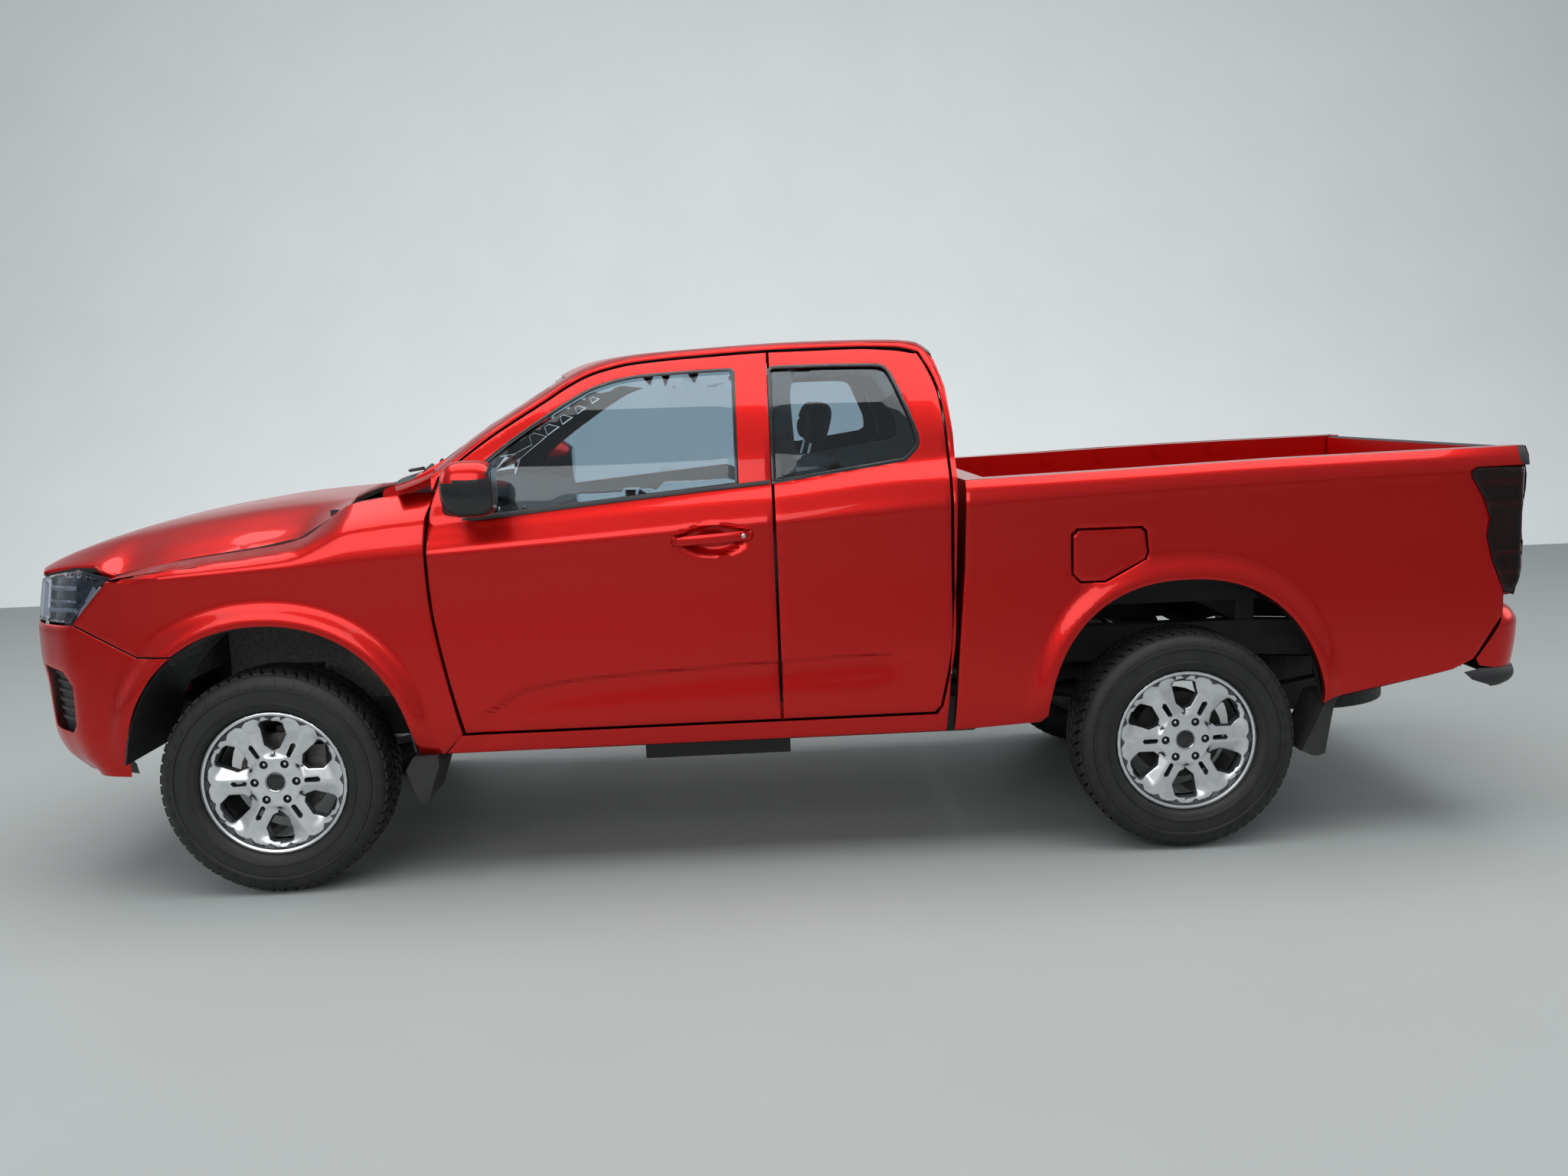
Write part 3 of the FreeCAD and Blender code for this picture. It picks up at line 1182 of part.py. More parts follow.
def fuel_pocket():
    """Recess in the left bed side behind the fuel flap, with the bores of its pins."""
    depth = -FLAP_PIN_Y + 35
    pocket = plate_xz(FLAP_PATH, -1000, depth)
    corner = box(FLAP_PATH[0][0], 1022, -1000, depth, FLAP_PIN_TOP - 5, FLAP_PIN_TOP + 24)
    low = V(FLAP_PIN_X, -FLAP_PIN_Y, FLAP_PIN_LOW - 30)
    high = V(FLAP_PIN_X, -FLAP_PIN_Y, FLAP_PIN_TOP + 30)
    return pocket.fuse([corner, rod(low, high, 2 + SEAT_GAP)])


def fuel_flap():
    """Fuel flap with the round edge and the two pins that it turns on."""
    flap = side_slab((940, 1320), FLAP_THICK, "bed").common(plate_xz(shrunk(FLAP_PATH, FLAP_GAP), -1000, 0))
    low = V(FLAP_PIN_X, -FLAP_PIN_Y, FLAP_PIN_LOW)
    high = V(FLAP_PIN_X, -FLAP_PIN_Y, FLAP_PIN_TOP)
    return flap.fuse([rod(low, high, 4), rod(low - V(0, 0, 28), high + V(0, 0, 28), 2)])


# Inside

SEAT_Y = 375.0


def seat(y):
    """One front seat: base, cushion, back and head rest."""
    cushion = plate_xz([(-560, 760), (-570, 860), [(-380, 880), (-60, 850)], (-40, 760)], y - 245, y + 245)
    shape = [(-60, 870), [(-20, 1100), (120, 1400)], (200, 1400), [(90, 1100), (40, 830)]]
    back = plate_xz(shape, y - 240, y + 240)
    rest = plate_xz([(110, 1440), (150, 1600), (215, 1600), (200, 1440)], y - 130, y + 130)
    base = box(-500, -80, y - 200, y + 200, CAB_FLOOR_Z + SEAT_GAP, 760)
    posts = [bar(V(155, y + s * 50, 1390), V(165, y + s * 50, 1450), 7, 8) for s in (-1, 1)]
    return fused([cushion, back, rest, base] + posts)


def rear_bench():
    return box(330, 560, -600, 600, CAB_FLOOR_Z + SEAT_GAP, 860)


WHEEL_POST = V(-700, SEAT_Y, 1080)
WHEEL_TILT = 25.0
WHEEL_AXIS = V(math.cos(math.radians(WHEEL_TILT)), 0, math.sin(math.radians(WHEEL_TILT)))
COLUMN_LENGTH = 150.0


def dashboard():
    front = FIREWALL_X + FIREWALL + SEAT_GAP
    path = [(front, 900), (front, 1263), (-1250, 1300.5), [(-1120, 1330), (-900, 1300)], (-840, 1240),
            (-860, 1050), (-960, 880)]
    body = plate_xz(path, -725, 725)
    console = box(-960, -560, -110, 110, TUNNEL_TOP_Z + SEAT_GAP, 900)
    cowl = bar(WHEEL_POST - WHEEL_AXIS * 240, WHEEL_POST - WHEEL_AXIS * COLUMN_LENGTH, 34)
    return fused([body, console, cowl])


def steering_wheel():
    section = [(185 + 15 * math.cos(math.pi * k / 3), 15 * math.sin(math.pi * k / 3)) for k in range(6)]
    ring = turned(section, V(0, 0, 0), V(0, 0, 1), 28)
    hub = bar(V(0, 0, -25), V(0, 0, 15), 60)
    bars = [box(-180, 180, -18, 18, -12, 4), box(-18, 18, -180, 0, -12, 4)]
    column = bar(V(0, 0, SEAT_GAP - COLUMN_LENGTH), V(0, 0, -20), 22)
    wheel = fused([ring, hub, column] + bars)
    wheel.rotate(V(0, 0, 0), V(0, 0, 1), 90)
    wheel.rotate(V(0, 0, 0), V(0, 1, 0), 90 - WHEEL_TILT)
    wheel.translate(WHEEL_POST)
    return wheel


# Arch liners and flaps

def front_liner():
    """Left front wheelhouse lining as an arc over the wheel."""
    outer = arch_cut(FRONT_ARCH, -890, -450, -SEAT_GAP)
    arc = outer.cut(arch_cut(FRONT_ARCH, -1000, 0, -6.0))
    return arc.common(box(-2300, -1200, -890, -450, FLARE_BOTTOM_Z, 1000))


MUD_FLAP_OUT = 875.0 - SEAT_GAP


def mud_flaps():
    """Left mud flaps, hung from the fender and from the bed skirt."""
    top = SILL_Z - SEAT_GAP
    front = [(-1238, top), (-1182, top), (-1178, 421), (-1220, 302), [(-1236, 292), (-1254, 295)],
             (-1290, 409), (-1262, top)]
    rear = [(1886, 503), (1925, 511), (1912, 470), (1884, 313), [(1852, 305), (1822, 316)], (1800, 324),
            (1850, 420)]
    return [plate_xz(front, -895, -660), plate_xz(rear, -MUD_FLAP_OUT, -660)]


def wheels():
    for name, x in (("front", FRONT_AXLE_X), ("rear", REAR_AXLE_X)):
        for word, side in (("left", -1), ("right", 1)):
            save("tyre_" + name + "_" + word, tyre(x, side))
            save("rim_" + name + "_" + word, rim(x, side))
    save("knuckle_left", knuckle(-1))
    save("knuckle_right", knuckle(1))


def chassis():
    save("ladder_frame", ladder_frame())
    save("engine", engine())
    save("radiator", radiator())
    save("rear_axle", rear_axle())
    save("leaf_springs", both(leaf_spring()))
    save("driveshaft", driveshaft())
    save("exhaust", exhaust())
    save("fuel_tank", fuel_tank())
    save("spare_wheel", spare_wheel())
    save("front_suspension", both(front_suspension()))


def cab():
    save("cab_shell", cab_shell())
    save("cab_glass", cab_glass())
    save("cowl_panel", cowl_panel())
    save("seats", [seat(-SEAT_Y), seat(SEAT_Y), rear_bench()])
    save("dashboard", dashboard())
    save("steering_wheel", steering_wheel())


def left_and_right(name, shape):
    save(name + "_left", shape)
    save(name + "_right", flip(shape))


def doors():
    left_and_right("front_door", front_door())
    left_and_right("rear_door", rear_door())
    left_and_right("front_glass", door_glass(FRONT_WINDOW))
    left_and_right("rear_glass", door_glass(REAR_WINDOW))
    left_and_right("mirror", mirror_pod())


def nose():
    save("hood", hood())
    save("front_fenders", both(fender()))
    save("front_bumper", front_bumper())
    save("grille", grille())
    save("headlamps", headlamps())
    save("arch_liners", both(front_liner()))
    save("mud_flaps", [shape for flap in mud_flaps() for shape in both(flap)])


def bed():
    plain = bed_side()
    save("bed_sides", [plain.cut(fuel_pocket()), flip(plain)])
    save("load_floor", load_floor())
    save("tailgate", tailgate())
    save("tail_lamps", tail_lamps())
    save("rear_bumper", rear_bumper())
    save("fuel_flap", fuel_flap())


def main():
    os.makedirs("parts", exist_ok=True)
    chassis()
    cab()
    doors()
    nose()
    bed()
    wheels()


main()
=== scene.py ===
import bisect
import math
import random

import bpy
import bmesh
import numpy
from mathutils import Matrix, Vector
from mathutils.geometry import delaunay_2d_cdt
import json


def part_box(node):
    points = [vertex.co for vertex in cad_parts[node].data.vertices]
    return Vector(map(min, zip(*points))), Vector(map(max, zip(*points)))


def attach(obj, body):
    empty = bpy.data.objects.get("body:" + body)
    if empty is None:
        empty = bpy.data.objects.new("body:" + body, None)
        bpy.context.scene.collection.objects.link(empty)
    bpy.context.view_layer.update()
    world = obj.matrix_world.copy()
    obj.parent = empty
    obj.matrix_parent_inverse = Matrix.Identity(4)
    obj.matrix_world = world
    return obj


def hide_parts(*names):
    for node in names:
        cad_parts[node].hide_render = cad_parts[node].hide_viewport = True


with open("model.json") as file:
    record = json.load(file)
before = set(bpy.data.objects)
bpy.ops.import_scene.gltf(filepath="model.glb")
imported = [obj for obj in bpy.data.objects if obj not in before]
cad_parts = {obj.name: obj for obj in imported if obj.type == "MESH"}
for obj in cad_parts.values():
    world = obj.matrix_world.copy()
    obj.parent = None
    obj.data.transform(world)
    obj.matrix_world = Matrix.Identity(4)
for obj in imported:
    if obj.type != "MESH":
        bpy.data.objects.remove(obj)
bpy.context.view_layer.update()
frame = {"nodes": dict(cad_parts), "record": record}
NODES = frame["nodes"]
SLOTS = {entry["node"]: entry["material_slot"] for entry in frame["record"]["subparts"]}
SIDES = (("left", -1), ("right", 1))


# Materials

FLAKE_SCALE = 2600.0
PAINT_METALLIC = 0.88
PAINT_ROUGH = 0.33
GRAIN_STRENGTH = 0.35
WEAVE_SCALE = 160.0
GLASS_IOR = 1.45


def new_material(name):
    mat = bpy.data.materials.new(name)
    mat.use_nodes = True
    tree = mat.node_tree
    return mat, tree, tree.nodes["Principled BSDF"]


def noise(tree, scale, detail=3.0, rough=0.5):
    """Noise in object space, so that it stays on its piece."""
    coord = tree.nodes.new("ShaderNodeTexCoord")
    tex = tree.nodes.new("ShaderNodeTexNoise")
    tex.inputs["Scale"].default_value = scale
    tex.inputs["Detail"].default_value = detail
    tex.inputs["Roughness"].default_value = rough
    tree.links.new(coord.outputs["Object"], tex.inputs["Vector"])
    return tex.outputs["Fac"]


def ramp(tree, source, stops):
    """Colours between (place, colour) stops."""
    node = tree.nodes.new("ShaderNodeValToRGB")
    elements = node.color_ramp.elements
    for element, (place, colour) in zip(elements, stops):
        element.position = place
        element.color = (*colour, 1.0)
    tree.links.new(source, node.inputs["Fac"])
    return node.outputs["Color"]


def span(tree, source, low, high):
    node = tree.nodes.new("ShaderNodeMapRange")
    node.inputs["To Min"].default_value = low
    node.inputs["To Max"].default_value = high
    tree.links.new(source, node.inputs["Value"])
    return node.outputs["Result"]


def bump(tree, source, strength, distance):
    node = tree.nodes.new("ShaderNodeBump")
    node.inputs["Strength"].default_value = strength
    node.inputs["Distance"].default_value = distance
    tree.links.new(source, node.inputs["Height"])
    return node.outputs["Normal"]


def painted(name, dark, bright):
    """Metallic paint: fine flakes under a clear coat."""
    mat, tree, bsdf = new_material(name)
    flakes = noise(tree, FLAKE_SCALE, 1.0)
    tree.links.new(ramp(tree, flakes, [(0.1, dark), (0.9, bright)]), bsdf.inputs["Base Color"])
    tree.links.new(span(tree, flakes, PAINT_ROUGH - 0.05, PAINT_ROUGH + 0.05), bsdf.inputs["Roughness"])
    bsdf.inputs["Metallic"].default_value = PAINT_METALLIC
    bsdf.inputs["Coat Weight"].default_value = 0.45
    bsdf.inputs["Coat Roughness"].default_value = 0.04
    return mat


def moulded(name, dark, bright, rough=0.55, grain=900.0, depth=0.0002):
    """Moulded plastic or rubber with a fine grain."""
    mat, tree, bsdf = new_material(name)
    grains = noise(tree, grain, 2.0)
    patches = noise(tree, 14.0, 4.0)
    tree.links.new(ramp(tree, patches, [(0.3, dark), (0.75, bright)]), bsdf.inputs["Base Color"])
    tree.links.new(span(tree, patches, rough - 0.07, rough + 0.08), bsdf.inputs["Roughness"])
    tree.links.new(bump(tree, grains, GRAIN_STRENGTH, depth), bsdf.inputs["Normal"])
    return mat


def metal(name, dark, bright, rough, scale, depth=0.0003, metallic=0.85):
    """Metal with worn patches."""
    mat, tree, bsdf = new_material(name)
    patches = noise(tree, scale, 5.0, 0.6)
    tree.links.new(ramp(tree, patches, [(0.3, dark), (0.75, bright)]), bsdf.inputs["Base Color"])
    tree.links.new(span(tree, patches, rough - 0.08, rough + 0.12), bsdf.inputs["Roughness"])
    tree.links.new(bump(tree, patches, 0.25, depth), bsdf.inputs["Normal"])
    bsdf.inputs["Metallic"].default_value = metallic
    return mat


def pane(name, tint):
    """Clear tinted glass."""
    mat, tree, bsdf = new_material(name)
    haze = noise(tree, 3.0, 3.0)
    tree.links.new(ramp(tree, haze, [(0.3, tint), (0.8, tuple(min(1.0, c * 1.06) for c in tint))]),
                   bsdf.inputs["Base Color"])
    bsdf.inputs["Transmission Weight"].default_value = 1.0
    bsdf.inputs["Roughness"].default_value = 0.0
    bsdf.inputs["IOR"].default_value = GLASS_IOR
    return mat


def woven(name, dark, bright):
    """Cloth: two crossed sets of threads."""
    mat, tree, bsdf = new_material(name)
    coord = tree.nodes.new("ShaderNodeTexCoord")
    mix = tree.nodes.new("ShaderNodeMath")
    mix.operation = "MULTIPLY"
    for index, axis in enumerate("XZ"):
        wave = tree.nodes.new("ShaderNodeTexWave")
        wave.bands_direction = axis
        wave.inputs["Scale"].default_value = WEAVE_SCALE
        wave.inputs["Distortion"].default_value = 0.6
        tree.links.new(coord.outputs["Object"], wave.inputs["Vector"])
        tree.links.new(wave.outputs["Fac"], mix.inputs[index])
    tree.links.new(ramp(tree, mix.outputs[0], [(0.1, dark), (0.8, bright)]), bsdf.inputs["Base Color"])
    tree.links.new(bump(tree, mix.outputs[0], 0.5, 0.0006), bsdf.inputs["Normal"])
    bsdf.inputs["Roughness"].default_value = 0.92
    bsdf.inputs["Sheen Weight"].default_value = 0.3
    return mat


def wheel_metal(name):
    """Machined face on what looks outward, dark paint in the pockets."""
    mat, tree, bsdf = new_material(name)
    coord = tree.nodes.new("ShaderNodeTexCoord")
    split = tree.nodes.new("ShaderNodeSeparateXYZ")
    tree.links.new(coord.outputs["Normal"], split.inputs[0])
    size = tree.nodes.new("ShaderNodeMath")
    size.operation = "ABSOLUTE"
    tree.links.new(split.outputs["Y"], size.inputs[0])
    shine = noise(tree, 40.0, 4.0)
    face = ramp(tree, shine, [(0.2, (0.62, 0.63, 0.65)), (0.8, (0.78, 0.79, 0.8))])
    mask = ramp(tree, size.outputs[0], [(0.80, (0, 0, 0)), (0.86, (1, 1, 1))])
    mix = tree.nodes.new("ShaderNodeMix")
    mix.data_type = "RGBA"
    tree.links.new(mask, mix.inputs["Factor"])
    mix.inputs["A"].default_value = (0.055, 0.058, 0.062, 1)
    tree.links.new(face, mix.inputs["B"])
    tree.links.new(mix.outputs["Result"], bsdf.inputs["Base Color"])
    tree.links.new(span(tree, mask, 0.45, 0.30), bsdf.inputs["Roughness"])
    bsdf.inputs["Metallic"].default_value = 0.9
    return mat


MATERIALS = {
    "body_red": painted("candy_red", (0.44, 0.001, 0.003), (0.70, 0.012, 0.006)),
    "rim_dark": moulded("pocket_paint", (0.035, 0.037, 0.04), (0.07, 0.073, 0.078), 0.35, 200.0, 0.00005),
    "headliner": moulded("headliner_cloth", (0.10, 0.10, 0.10), (0.16, 0.16, 0.16), 0.9, 700.0, 0.0004),
    "lamp_dark": moulded("lamp_lining", (0.012, 0.015, 0.024), (0.03, 0.036, 0.05), 0.25, 200.0, 0.00005),
    "chrome": metal("bright_plate", (0.55, 0.56, 0.58), (0.72, 0.73, 0.74), 0.16, 20.0, 0.00005, 0.95),
    "lamp_back": moulded("lamp_back", (0.05, 0.004, 0.006), (0.10, 0.006, 0.008), 0.3, 200.0, 0.00005),
    "lamp_rear": moulded("lamp_rear", (0.06, 0.004, 0.006), (0.12, 0.006, 0.010), 0.12, 60.0, 0.00005),
    "lamp_red": moulded("lamp_reflector", (0.30, 0.008, 0.012), (0.45, 0.02, 0.02), 0.25, 200.0, 0.00005),
    "lamp_white": moulded("lamp_guide", (0.30, 0.33, 0.38), (0.42, 0.45, 0.50), 0.3, 200.0, 0.00005),
    "black_plastic": moulded("black_grained", (0.012, 0.012, 0.013), (0.022, 0.022, 0.024)),
    "black_gloss": moulded("black_gloss", (0.012, 0.012, 0.013), (0.02, 0.02, 0.022), 0.16, 300.0, 0.00005),
    "window_glass": pane("tinted_pane", (0.50, 0.60, 0.66)),
    "lamp_glass": pane("lamp_cover", (0.62, 0.67, 0.76)),
    "tail_lamp": pane("smoked_red", (0.30, 0.05, 0.06)),
    "frame_black": moulded("chassis_paint", (0.010, 0.010, 0.010), (0.024, 0.023, 0.022), 0.6, 120.0, 0.0008),
    "bare_steel": metal("worn_steel", (0.22, 0.21, 0.2), (0.45, 0.44, 0.42), 0.42, 12.0),
    "cast_metal": metal("cast_iron", (0.13, 0.12, 0.115), (0.3, 0.29, 0.28), 0.55, 60.0),
    "alloy": wheel_metal("machined_alloy"),
    "tyre_rubber": moulded("tyre_rubber", (0.006, 0.006, 0.006), (0.014, 0.014, 0.014), 0.58, 240.0, 0.0005),
    "flap_rubber": moulded("flap_rubber", (0.016, 0.016, 0.016), (0.03, 0.03, 0.03), 0.7, 400.0, 0.0004),
    "seat_cloth": woven("seat_cloth", (0.02, 0.02, 0.022), (0.075, 0.075, 0.08)),
    "cabin_plastic": moulded("cabin_plastic", (0.03, 0.03, 0.032), (0.06, 0.06, 0.063), 0.6, 600.0),
}

for node_name, node_object in NODES.items():
    node_object.data.materials.clear()
    node_object.data.materials.append(MATERIALS[SLOTS[node_name]])


# Meshes. A sheet is a tuple of vertices, faces and a material index for each face.

def sharpen(obj, degrees):
    """Smooth shading that keeps edges sharper than an angle."""
    bm = bmesh.new()
    bm.from_mesh(obj.data)
    limit = math.radians(degrees)
    for edge in bm.edges:
        if len(edge.link_faces) == 2 and edge.calc_face_angle(0.0) > limit:
            edge.smooth = False
    bm.to_mesh(obj.data)
    bm.free()


def cleaned(mesh):
    """Joins points at the same place and turns the faces outward."""
    bm = bmesh.new()
    bm.from_mesh(mesh)
    bmesh.ops.remove_doubles(bm, verts=bm.verts, dist=1e-6)
    bmesh.ops.recalc_face_normals(bm, faces=bm.faces)
    bm.to_mesh(mesh)
    bm.free()


def piece(name, sheets, materials, body, nodes=(), degrees=38.0, slot=None, clean=False):
    """One object from several sheets, with smooth shading between its sharp edges.

    It stands for the CAD nodes given and hides them; its slot, the first material unless another is named, is
    worked out but not kept.
    """
    verts = []
    faces = []
    kinds = []
    for sheet_verts, sheet_faces, sheet_kinds in sheets:
        base = len(verts)
        verts += sheet_verts
        faces += [tuple(base + i for i in face) for face in sheet_faces]
        kinds += sheet_kinds
    mesh = bpy.data.meshes.new(name)
    mesh.from_pydata([tuple(v) for v in verts], [], faces)
    for mat in materials:
        mesh.materials.append(MATERIALS[mat])
    mesh.polygons.foreach_set("material_index", kinds)
    mesh.polygons.foreach_set("use_smooth", [True] * len(mesh.polygons))
    mesh.validate()
    if clean:
        cleaned(mesh)
    obj = bpy.data.objects.new(name, mesh)
    bpy.context.scene.collection.objects.link(obj)
    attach(obj, body)
    slot or materials[0]
    sharpen(obj, degrees)
    for node in nodes:
        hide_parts(node)
    return obj


def coloured(mesh, colour):
    """A sheet of one colour index from vertices and faces."""
    verts, faces = mesh
    return verts, faces, [colour] * len(faces)


def cad_sheet(node, keep, colour):
    """The faces of a node that a test keeps, each with the colour index of another test."""
    mesh = NODES[node].data
    used = {}
    verts = []
    faces = []
    kinds = []
    for poly in mesh.polygons:
        if not keep(poly.center, poly.normal):
            continue
        for i in poly.vertices:
            if i not in used:
                used[i] = len(verts)
                verts.append(tuple(mesh.vertices[i].co))
        faces.append(tuple(used[i] for i in poly.vertices))
        kinds.append(colour(poly.center, poly.normal))
    return verts, faces, kinds


def turned_out(verts, faces, kinds, outward):
    """The same sheet with every face turned the right way round."""
    bm = bmesh.new()
    made = [bm.verts.new(v) for v in verts]
    for face, kind in zip(faces, kinds):
        if len(set(face)) < 3:
            continue
        try:
            bm.faces.new([made[i] for i in face]).material_index = kind
        except ValueError:
            continue
    bmesh.ops.recalc_face_normals(bm, faces=bm.faces)
    bm.normal_update()
    bm.verts.index_update()
    facing = sum(f.normal.dot(outward) * f.calc_area() for f in bm.faces if f.material_index == 0)
    sheet = [tuple(v.co) for v in bm.verts]
    order = 1 if facing >= 0 else -1
    loops = [tuple(v.index for v in f.verts)[::order] for f in bm.faces]
    kinds = [f.material_index for f in bm.faces]
    bm.free()
    return sheet, loops, kinds


def on_side(sheet, side):
    """A sheet of the left side as it is, or its mirror image on the right."""
    if side < 0:
        return sheet
    verts, faces, kinds = sheet
    return [(x, -y, z) for x, y, z in verts], [face[::-1] for face in faces], kinds


def tinted(sheet, test, colour):
    """The sheet with another colour index on the faces whose middle passes a test."""
    verts, faces, kinds = sheet
    points = [Vector(v) for v in verts]
    middles = [sum((points[i] for i in face), Vector()) / len(face) for face in faces]
    return verts, faces, [colour if test(c) else kind for c, kind in zip(middles, kinds)]


def softened(name, node, width, colour):
    """Copy of a CAD node with small bevels, standing for it."""
    mesh = NODES[node].data.copy()
    mesh.name = name
    obj = bpy.data.objects.new(name, mesh)
    bpy.context.scene.collection.objects.link(obj)
    mesh.materials.clear()
    mesh.materials.append(MATERIALS[colour])
    bm = bmesh.new()
    bm.from_mesh(mesh)
    bmesh.ops.remove_doubles(bm, verts=bm.verts, dist=1e-5)
    bmesh.ops.dissolve_limit(bm, angle_limit=math.radians(1.0), verts=bm.verts, edges=bm.edges)
    bm.to_mesh(mesh)
    bm.free()
    bevel = obj.modifiers.new("edge", "BEVEL")
    bevel.width = width
    bevel.segments = 3
    bevel.limit_method = "ANGLE"
    bevel.angle_limit = math.radians(30.0)
    bevel.harden_normals = False
    bevel.use_clamp_overlap = True
    depsgraph = bpy.context.evaluated_depsgraph_get()
    rounded = bpy.data.meshes.new_from_object(obj.evaluated_get(depsgraph))
    obj.modifiers.remove(bevel)
    obj.data = rounded
    rounded.polygons.foreach_set("use_smooth", [True] * len(rounded.polygons))
    sharpen(obj, 40.0)
    body = next(b for b, nodes in frame["record"]["behaviour"]["bodies"].items() if node in nodes)
    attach(obj, body)
    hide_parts(node)


# Round and swept forms

def ellipse(across, up, count, middle=(0.0, 0.0)):
    turns = [2 * math.pi * k / count for k in range(count)]
    return [(middle[0] + across * math.cos(a), middle[1] + up * math.sin(a)) for a in turns]


def lathe(profile, count, centre):
    """Rings of a (radius, width) profile about the Y axis through a centre."""
    verts = []
    faces = []
    n = len(profile)
    for k in range(count):
        angle = 2 * math.pi * k / count
        for r, w in profile:
            verts.append((centre[0] + r * math.cos(angle), centre[1] + w, centre[2] + r * math.sin(angle)))
    for k in range(count):
        a = k * n
        b = ((k + 1) % count) * n
        for i in range(n - 1):
            faces.append((a + i, a + i + 1, b + i + 1, b + i))
    return verts, faces


def sweep(points, section, closed=False, up=(0, 0, 1)):
    """A section of (side, up) offsets carried along points."""
    verts = []
    faces = []
    pts = [Vector(p) for p in points]
    n = len(section)
    for i, p in enumerate(pts):
        before = pts[i - 1] if i or closed else p
        after = pts[(i + 1) % len(pts)] if i + 1 < len(pts) or closed else p
        along = (after - before).normalized()
        side = along.cross(Vector(up)).normalized()
        top = side.cross(along).normalized()
        for a, b in section:
            verts.append(tuple(p + side * a + top * b))
    rings = len(pts) if closed else len(pts) - 1
    for i in range(rings):
        a = i * n
        b = ((i + 1) % len(pts)) * n
        for j in range(n):
            faces.append((a + j, a + (j + 1) % n, b + (j + 1) % n, b + j))
    if not closed:
        faces.append(tuple(range(n - 1, -1, -1)))
        faces.append(tuple((len(pts) - 1) * n + j for j in range(n)))
    return verts, faces


def smooth_path(points, per=6):
    """Catmull-Rom curve through points."""
    out = []
    pts = [Vector(p) for p in points]
    for i in range(len(pts) - 1):
        p0 = pts[max(i - 1, 0)]
        p1 = pts[i]
        p2 = pts[i + 1]
        p3 = pts[min(i + 2, len(pts) - 1)]
        for k in range(per):
            t = k / per
            out.append(0.5 * ((2 * p1) + (p2 - p0) * t + (2 * p0 - 5 * p1 + 4 * p2 - p3) * t * t
                              + (3 * p1 - p0 - 3 * p2 + p3) * t * t * t))
    out.append(pts[-1])
    return out


def dome(centre, radius, height, out, count=20, rings=4):
    """Rounded cap that looks outward along Y, closed at its top."""
    profile = [(radius, 0.0)] + [(radius * math.cos(math.pi / 2 * k / rings),
                                  height * (0.45 + 0.55 * math.sin(math.pi / 2 * k / rings)))
                                 for k in range(rings)]
    verts, faces = lathe([(r, w * out) for r, w in profile], count, centre)
    top = len(verts)
    verts.append((centre[0], centre[1] + height * out, centre[2]))
    n = len(profile)
    for k in range(count):
        faces.append((k * n + n - 1, ((k + 1) % count) * n + n - 1, top))
    return verts, faces


def round_box(power, columns, rows):
    """Unit points and faces of a closed form: a ball at power 2, nearer to a box at a higher power."""
    points = []
    for i in range(rows + 1):
        a = math.pi * i / rows - math.pi / 2
        for j in range(columns):
            b = 2 * math.pi * j / columns
            way = (math.cos(a) * math.cos(b), math.cos(a) * math.sin(b), math.sin(a))
            size = sum(abs(q) ** power for q in way) ** (1 / power)
            points.append([q / size for q in way])
    faces = []
    for i in range(rows):
        for j in range(columns):
            k = (j + 1) % columns
            faces.append((i * columns + j, i * columns + k, (i + 1) * columns + k, (i + 1) * columns + j))
    return points, faces


# Shapes shared by the body panels, in metres

AXLE_Z = 0.385
HOOD_HALF = 0.776
SHOULDER_LINE = ((-2.300, 1.086), (-1.159, 1.139), (-0.031, 1.197), (0.640, 1.235), (1.438, 1.265),
                 (2.400, 1.286))
BELT_LINE = ((-1.200, 1.238), (-0.932, 1.262), (-0.134, 1.331), (-0.021, 1.338), (0.426, 1.392),
             (0.620, 1.400))
HOOD_LINE = ((-2.600, 1.074), (-2.480, 1.096), (-2.320, 1.110), (-2.233, 1.099), (-2.095, 1.132),
             (-1.924, 1.155), (-1.753, 1.175), (-1.624, 1.199), (-1.526, 1.255), (-1.430, 1.314),
             (-1.152, 1.350))
HOOD_CREST = ((-2.600, 1.106), (-2.528, 1.154), (-2.402, 1.203), (-2.223, 1.249), (-2.010, 1.285),
              (-1.761, 1.316), (-1.532, 1.330), (-1.400, 1.336))
RAIL_LINE = ((0.640, 1.315), (1.217, 1.332), (1.735, 1.348), (2.560, 1.361))
ROOF_EDGE = ((-1.340, 1.345), (-1.230, 1.373), (-1.128, 1.419), (-0.978, 1.529), (-0.778, 1.654),
             (-0.626, 1.741), (-0.473, 1.778), (-0.235, 1.795), (0.051, 1.806), (0.315, 1.806),
             (0.470, 1.798))
GREEN_LINE = ((1.200, 0.862), (1.250, 0.858), (1.390, 0.834), (1.560, 0.772), (1.781, 0.655), (1.830, 0.628))
SWAGE_LINE = ((-1.060, 0.560), (-0.960, 0.630), (-0.870, 0.676), (-0.656, 0.705), (-0.009, 0.735),
              (0.483, 0.749))
NOSE_PLAN = ((0.0, -2.640), (0.300, -2.627), (0.600, -2.588), (0.720, -2.530), (0.800, -2.450),
             (0.856, -2.360), (0.880, -2.270), (0.894, -2.187), (0.901, -2.100), (0.905, -1.990))
NOSE_SETBACK = ((0.413, 0.110), (0.490, 0.044), (0.560, 0.022), (0.730, 0.012), (0.821, 0.0), (0.912, 0.0),
                (0.960, 0.006), (1.104, 0.030), (1.160, 0.046))
FRONT_ARCH = (-1.735, 0.490, 0.540, 2.15)
REAR_ARCH = (1.390, 0.490, 0.567, 2.3)
